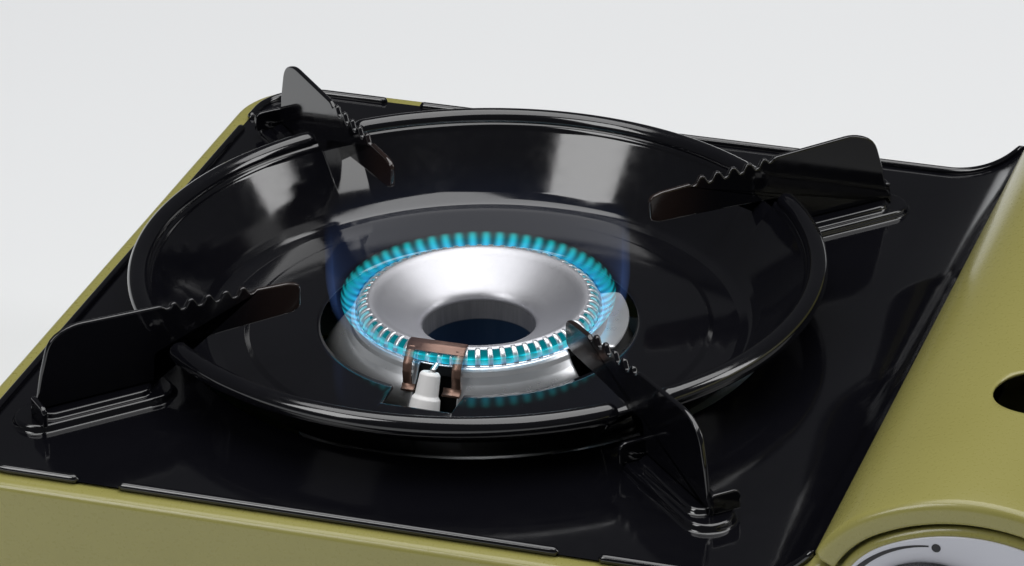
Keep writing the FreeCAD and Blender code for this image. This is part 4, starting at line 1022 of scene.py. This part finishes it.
def along_axis(line, start, axis, count=40):
    """A line of (distance, radius) points turned about an axis in space that starts at a point."""
    a = np.asarray(axis, float) / np.linalg.norm(axis)
    u = np.cross(a, (1.0, 0, 0))
    u /= np.linalg.norm(u)
    v = np.cross(a, u)
    t = np.linspace(0, 2 * math.pi, count, endpoint=False)
    s, r = np.asarray(line, float).T
    ring = u * np.cos(t)[:, None] + v * np.sin(t)[:, None]
    pts = np.asarray(start) + a * s[:, None, None] + ring[None] * r[:, None, None]
    middle = np.asarray(start) + a * s.mean()
    return facing(grid(pts, wrap_cols=True), lambda q: q - middle)


SPARK_FOOT = np.array([-2.4, -51.0, 71.0])
SPARK_AXIS = (0.085, 0.385, 1.0)
cone = smooth_line([(0.2, 0.0), (0.2, 5.6), (14.6, 4.3), (15.6, 3.5), (21.8, 3.1), (22.6, 2.5), (22.6, 0.9),
                    (21.4, 0.9)], [0, 0.3, 1.0, 1.0, 0.8, 0.5, 0.2, 0], 4)
taper = along_axis(cone, SPARK_FOOT, SPARK_AXIS)
piece("igniter_ceramic_body", [taper], "stove_body", ("igniter_ceramic",), ceramic)
print("bracket surfaces:", len(bracket), "ceramic points:", len(taper[0]))

# %% [markdown]
# ## The silver dial panel and the knob
# The panel is a thin lacquered plate on the front of the bay. It carries only the plain sign for more
# gas, a crescent that grows thicker, and a dot for off. They are ink, so they are flat shapes a few
# hundredths of a millimetre proud of the lacquer.

# %% Panel with its crescent and dot
FACE = -137.8
KNOB = (173.5, 86.5)
PANEL_IN = 9.8
PANEL_LOW, PANEL_CUT, PANEL_OUT = 52.0, 8.0, 2.2
CRESCENT_R = 28.9
DOT_R, DOT_Z = 1.25, 114.9
over = arch(PANEL_IN)[0]
x_lo, x_hi = over[0][0] - PANEL_OUT, over[-1][0]
lower_line = [(x_hi, PANEL_LOW + PANEL_CUT), (x_hi - PANEL_CUT, PANEL_LOW), (x_lo + PANEL_CUT, PANEL_LOW),
              (x_lo, PANEL_LOW + PANEL_CUT), (x_lo, over[0][1] - 5)]
dial_line = [tuple(p) for p in over] + lower_line
skin, lids = blade(dial_line, 0.38, 0.25, 3)
panel_parts = [(pts + np.array([0, FACE + 0.42, 0]), faces) for pts, faces in [skin] + lids]
piece("dial_panel", panel_parts, "stove_body", ("dial_plate",), silver)


def ink_mark(name, outline):
    """A flat closed shape on the front of the panel, from its (x, z) outline."""
    x, z = outline.T
    pts = np.column_stack([x, np.full(len(x), FACE - 0.04), z])
    area = 0.5 * np.sum(x * np.roll(z, -1) - np.roll(x, -1) * z)
    order = list(range(len(pts)))
    face = order if area > 0 else order[::-1]
    piece(name, [(pts, [face])], "stove_body", (), ink, smooth=False)


def on_dial(a, radius):
    """Points (x, z) on the panel, at the given angles and distances from the knob's axis."""
    return np.stack([KNOB[0] + radius * np.cos(a), KNOB[1] + radius * np.sin(a)], -1)


a = np.radians(np.linspace(94.0, 205.0, 60))
grow = np.linspace(0.45, 3.0, 60)
ink_mark("dial_crescent", np.concatenate([on_dial(a, CRESCENT_R), on_dial(a, CRESCENT_R - grow)[::-1]]))
t = np.linspace(0, 2 * math.pi, 32, endpoint=False)
ink_mark("dial_dot", np.stack([KNOB[0] + DOT_R * np.cos(t), DOT_Z + DOT_R * np.sin(t)], -1))
print("dial outline points:", len(dial_line))

# %% [markdown]
# The knob is moulded in black: a stepped collar, then a round foot with a bar across it to grip. The
# collar's fine rings come from the mould. All of it is turned about the knob's own axis, which points
# to the front.

# %% Knob
RING_FACE = -138.1


def about_knob(line, count=120):
    """A line of (distance forward from the panel, radius) points turned about the knob's axis."""
    t = np.linspace(0, 2 * math.pi, count, endpoint=False)
    s, r = np.asarray(line, float).T
    x = KNOB[0] + r[:, None] * np.cos(t)
    z = KNOB[1] + r[:, None] * np.sin(t)
    y = np.broadcast_to((RING_FACE - s)[:, None], x.shape)
    return facing(grid(np.stack([x, y, z], -1), wrap_cols=True), (0, -1, 0))


collar = [(0.0, 23.9), (0.6, 23.8), (2.5, 23.1), (3.1, 22.7), (3.2, 22.2), (3.2, 21.7), (2.8, 21.5),
          (2.8, 21.1), (3.2, 20.9), (3.2, 20.3), (2.8, 20.1), (2.8, 19.7), (3.2, 19.5), (3.2, 18.9),
          (3.0, 3.0)]
collar_skin = about_knob(smooth_line(collar, 0.15, 2))
piece("knob_collar", [collar_skin], "knob", ("knob_ring",), knob_black)
foot = [(3.2, 18.5), (5.4, 18.0), (6.8, 17.5), (7.2, 16.9), (7.2, 4.0), (7.2, 0.0)]
bar_line = closed_line([(-4.2, -16.5), (4.2, -16.5), (4.2, 16.5), (-4.2, 16.5)], 3.6, 8)
skin, lids = blade(bar_line, 4.1, 1.2, 5)
bar_middle = np.array([KNOB[0], RING_FACE - 3.2 - 4.9, KNOB[1]])
bar = [(pts + bar_middle, faces) for pts, faces in [skin] + lids]
grip = [about_knob(smooth_line(foot, 0.8, 3))] + bar
piece("knob_grip_bar", grip, "knob", ("knob_grip",), knob_black)
print("knob collar mm:", collar[0][1] * 2)

# %% [markdown]
# ## Flames
# Butane burns blue where it meets the air. Each port throws a short bright jet, and the mixed gas above
# it glows faintly. A flame is gas and not a solid piece of the stove, so these are kept apart from its
# pieces. They only give light, and they are clear where they give none.

# %% Flame finish
def empty_finish(name):
    """A material with nothing in it but its output: the material, its tree and the output's inputs."""
    mat = bpy.data.materials.new(name)
    mat.use_nodes = True
    mat.node_tree.nodes.clear()
    return mat, mat.node_tree, mat.node_tree.nodes.new("ShaderNodeOutputMaterial").inputs


def split_place(tree):
    """The X, Y and Z outputs of the object's own coordinates."""
    return add(tree, "ShaderNodeSeparateXYZ", {"Vector": place_in(tree)}).outputs


def calc(tree, operation, *values):
    """What a sum gives for numbers or other nodes' outputs, in order."""
    return add(tree, "ShaderNodeMath", dict(enumerate(values)), operation=operation).outputs[0]


def lit_clear(tree, colour, strength):
    """A clear surface, and the same surface with light added to it."""
    clear = add(tree, "ShaderNodeBsdfTransparent", {}).outputs["BSDF"]
    light = add(tree, "ShaderNodeEmission", {"Color": colour, "Strength": strength}).outputs["Emission"]
    return clear, add(tree, "ShaderNodeAddShader", {0: clear, 1: light}).outputs["Shader"]


def glow(name, colour, strength, low_z, high_z, power):
    """A clear surface with light that is strongest at the foot and fades upwards."""
    mat, tree, end = empty_finish(name)
    share = calc(tree, "POWER", ramp(tree, split_place(tree)["Z"], high_z * MM, low_z * MM), power)
    clear, lit = lit_clear(tree, (*colour, 1), strength)
    mix = add(tree, "ShaderNodeMixShader", {0: share, 1: clear, 2: lit})
    tree.links.new(mix.outputs["Shader"], end["Surface"])
    return mat


slot_light = glow("flame_in_ports", (0.0, 0.22, 0.26), 1.0, 90.0, 96.5, 0.3)
print("flame finish:", slot_light.name)

# %% [markdown]
# A jet leaves its slot sloping outwards and bends up as it slows, and its neighbours almost touch. So
# the crown of flame is one ring of surface with sixty bright stripes, wide at the foot and fading at
# the tip. The stripes come from the angle about the burner, worked out by the finish itself.

# %% Crown of jets
def crown_finish(name, colour, tip_colour, strength, ports, z_foot, z_tip):
    """Light in stripes about the burner's axis: bright between the bars, where cos(ports * angle) is low."""
    mat, tree, end = empty_finish(name)
    at = split_place(tree)
    x = calc(tree, "SUBTRACT", at["X"], BURNER_X * MM)
    y = calc(tree, "SUBTRACT", at["Y"], BURNER_Y * MM)
    wave = calc(tree, "COSINE", calc(tree, "MULTIPLY", calc(tree, "ARCTAN2", y, x), float(ports)))
    wave = calc(tree, "MULTIPLY_ADD", wave, -0.36, 0.64)
    h = ramp(tree, at["Z"], z_foot * MM, z_tip * MM)
    stripes = calc(tree, "POWER", wave, calc(tree, "MULTIPLY_ADD", h, 1.2, 0.8))
    fading = calc(tree, "POWER", calc(tree, "SUBTRACT", 1.0, h), 0.55)
    level = calc(tree, "MULTIPLY", calc(tree, "MULTIPLY", stripes, fading), strength)
    _, lit = lit_clear(tree, blend(tree, h, colour, tip_colour), level)
    tree.links.new(lit, end["Surface"])
    return mat


def glow_object(name, surfaces, mat):
    """A flame surface, kept apart from the stove's own pieces."""
    verts, faces = join(surfaces)
    mesh = bpy.data.meshes.new(name)
    mesh.from_pydata(to_frame(verts).tolist(), [], faces)
    mesh.polygons.foreach_set("use_smooth", np.full(len(mesh.polygons), True))
    mesh.materials.append(mat)
    obj = bpy.data.objects.new(name, mesh)
    bpy.context.scene.collection.objects.link(obj)
    return obj


crown_light = crown_finish("flame_crown", (0.02, 0.17, 0.42), (0.0, 0.46, 0.44), 1.15, PORTS, 92.4, 96.9)
crown_line = eased([(37.3, 92.4), (38.6, 92.9), (40.2, 94.0), (41.2, 95.2), (41.5, 96.9)], 3)
inside_line = eased([(37.0, 94.2), (38.2, 94.4), (39.4, 95.0), (40.2, 95.8), (40.6, 96.9)], 3)
slot_line = [(32.9, 95.2), (35.4, 94.2), (36.4, 92.4), (36.4, 91.6)]
crown_skins = [turned(line, count=480) for line in (crown_line, inside_line)]
flames = [glow_object("flame_crown", crown_skins, crown_light)]
flames.append(glow_object("flame_in_ports", [turned(slot_line, count=120)], slot_light))
print("flame surfaces:", [o.name for o in flames])

# %% [markdown]
# Above the jets the burnt gas glows a faint violet blue. It is a thin hollow column of light without
# a surface, so it looks brightest at its two sides, where one looks along its wall.

# %% Glow above the jets
HAZE_TOP, HAZE_FOOT = 0.124, 0.094
HAZE_LEVEL = 7.0
haze, tree, end = empty_finish("flame_haze")
height = split_place(tree)["Z"]
fall = ramp(tree, height, HAZE_TOP, HAZE_FOOT, to_max=HAZE_LEVEL, interpolation_type="SMOOTHSTEP")
light = add(tree, "ShaderNodeEmission", {"Color": (0.10, 0.21, 0.60, 1), "Strength": fall})
tree.links.new(light.outputs["Emission"], end["Volume"])
column = [(42.6, 95.0), (44.6, 96.0), (45.8, 103.0), (45.8, 124.0), (43.6, 124.0), (43.4, 104.0)]
shell_r, shell_z = np.array(column).T[:, :, None]
a = np.linspace(0, 2 * math.pi, 96, endpoint=False)
ring_pts = np.stack([shell_r * np.cos(a), shell_r * np.sin(a), shell_z + 0 * a], -1)
flames.append(glow_object("flame_haze", [grid(ring_pts, wrap_rows=True, wrap_cols=True)], haze))
print("flame objects:", [o.name for o in flames])

# %% [markdown]
# ## Floor, light and camera
# The photograph's ground is pale and evenly lit, so the floor is a pale matt sheet. Three soft area
# lights stand over it: a broad one above, a narrow one at the front left and a narrow one at the right.

# %% Floor and backdrop
def matt(name, tone):
    """A plain pale finish with hardly any shine."""
    mat = bpy.data.materials.new(name)
    mat.use_nodes = True
    shader = mat.node_tree.nodes["Principled BSDF"]
    shader.inputs["Base Color"].default_value = (*tone, 1)
    shader.inputs["Roughness"].default_value = 0.9
    shader.inputs["Specular IOR Level"].default_value = 0.2
    return mat


HALF_FLOOR = 6.0
floor_mesh = bpy.data.meshes.new("studio_floor")
floor_corners = [(x * HALF_FLOOR, y * HALF_FLOOR, 0.0) for x, y in ((-1, -1), (1, -1), (1, 1), (-1, 1))]
floor_mesh.from_pydata(floor_corners, [], [(0, 1, 2, 3)])
floor_mesh.materials.append(matt("paper_white", (0.82, 0.83, 0.84)))
floor = bpy.data.objects.new("studio_floor", floor_mesh)
bpy.context.scene.collection.objects.link(floor)


def soft_light(name, place, aim, size, power):
    """A rectangular area light at a place, turned to look at a point."""
    lamp = bpy.data.lights.new(name, "AREA")
    lamp.shape = "RECTANGLE"
    lamp.size, lamp.size_y = size
    lamp.energy = power
    obj = bpy.data.objects.new(name, lamp)
    back = (Vector(place) - Vector(aim)).normalized()
    obj.rotation_euler = back.to_track_quat("Z", "Y").to_euler()
    obj.location = place
    bpy.context.scene.collection.objects.link(obj)


middle = (0.0, 0.0, 0.09)
soft_light("light_above", (0.1, 0.3, 2.0), middle, (2.2, 2.2), 40)
soft_light("light_front_left", (-0.74, -0.95, 1.22), middle, (0.55, 0.9), 7.5)
soft_light("light_right", (1.6, 0.5, 1.0), middle, (0.5, 0.9), 6)
world = bpy.data.worlds.new("studio_air")
world.use_nodes = True
air = world.node_tree.nodes["Background"].inputs
air["Color"].default_value = (0.85, 0.87, 0.9, 1)
air["Strength"].default_value = 0.06
bpy.context.scene.world = world
bpy.context.scene.view_settings.view_transform = "Standard"

# %% [markdown]
# The camera's place was solved from shapes that are known: the round ring of ports, the four equal
# supports and the plate's straight edges. The lens came out as a long one.

# %% Camera
AZIMUTH, ELEVATION, ROLL = math.radians(18.55), math.radians(27.33), math.radians(-1.1)
DISTANCE = 1.4161
LENS, SENSOR = 162.98, 36.0
TARGET = Vector((-0.04498, 0.02668, 0.090))
side_step, up_step = math.cos(ELEVATION), math.sin(ELEVATION)
look_back = Vector((math.sin(AZIMUTH) * side_step, -math.cos(AZIMUTH) * side_step, up_step))
right0 = Vector((math.cos(AZIMUTH), math.sin(AZIMUTH), 0))
up0 = look_back.cross(right0)
right_v = math.cos(ROLL) * right0 + math.sin(ROLL) * up0
up_v = -math.sin(ROLL) * right0 + math.cos(ROLL) * up0
camera = bpy.data.objects.new("camera", bpy.data.cameras.new("camera"))
camera.data.lens = LENS
camera.data.sensor_width = SENSOR
camera.data.clip_end = 30
place = TARGET + DISTANCE * look_back
turn3 = Matrix((right_v, up_v, look_back)).transposed().to_4x4()
camera.matrix_world = Matrix.Translation(place) @ turn3
bpy.context.scene.collection.objects.link(camera)
bpy.context.scene.camera = camera
print("camera at", [round(c, 3) for c in place])

# %% [markdown]
# The drawn pieces should reach exactly as far as the frame's solids. The number of pieces made is printed.

print("pieces made:", len(made))
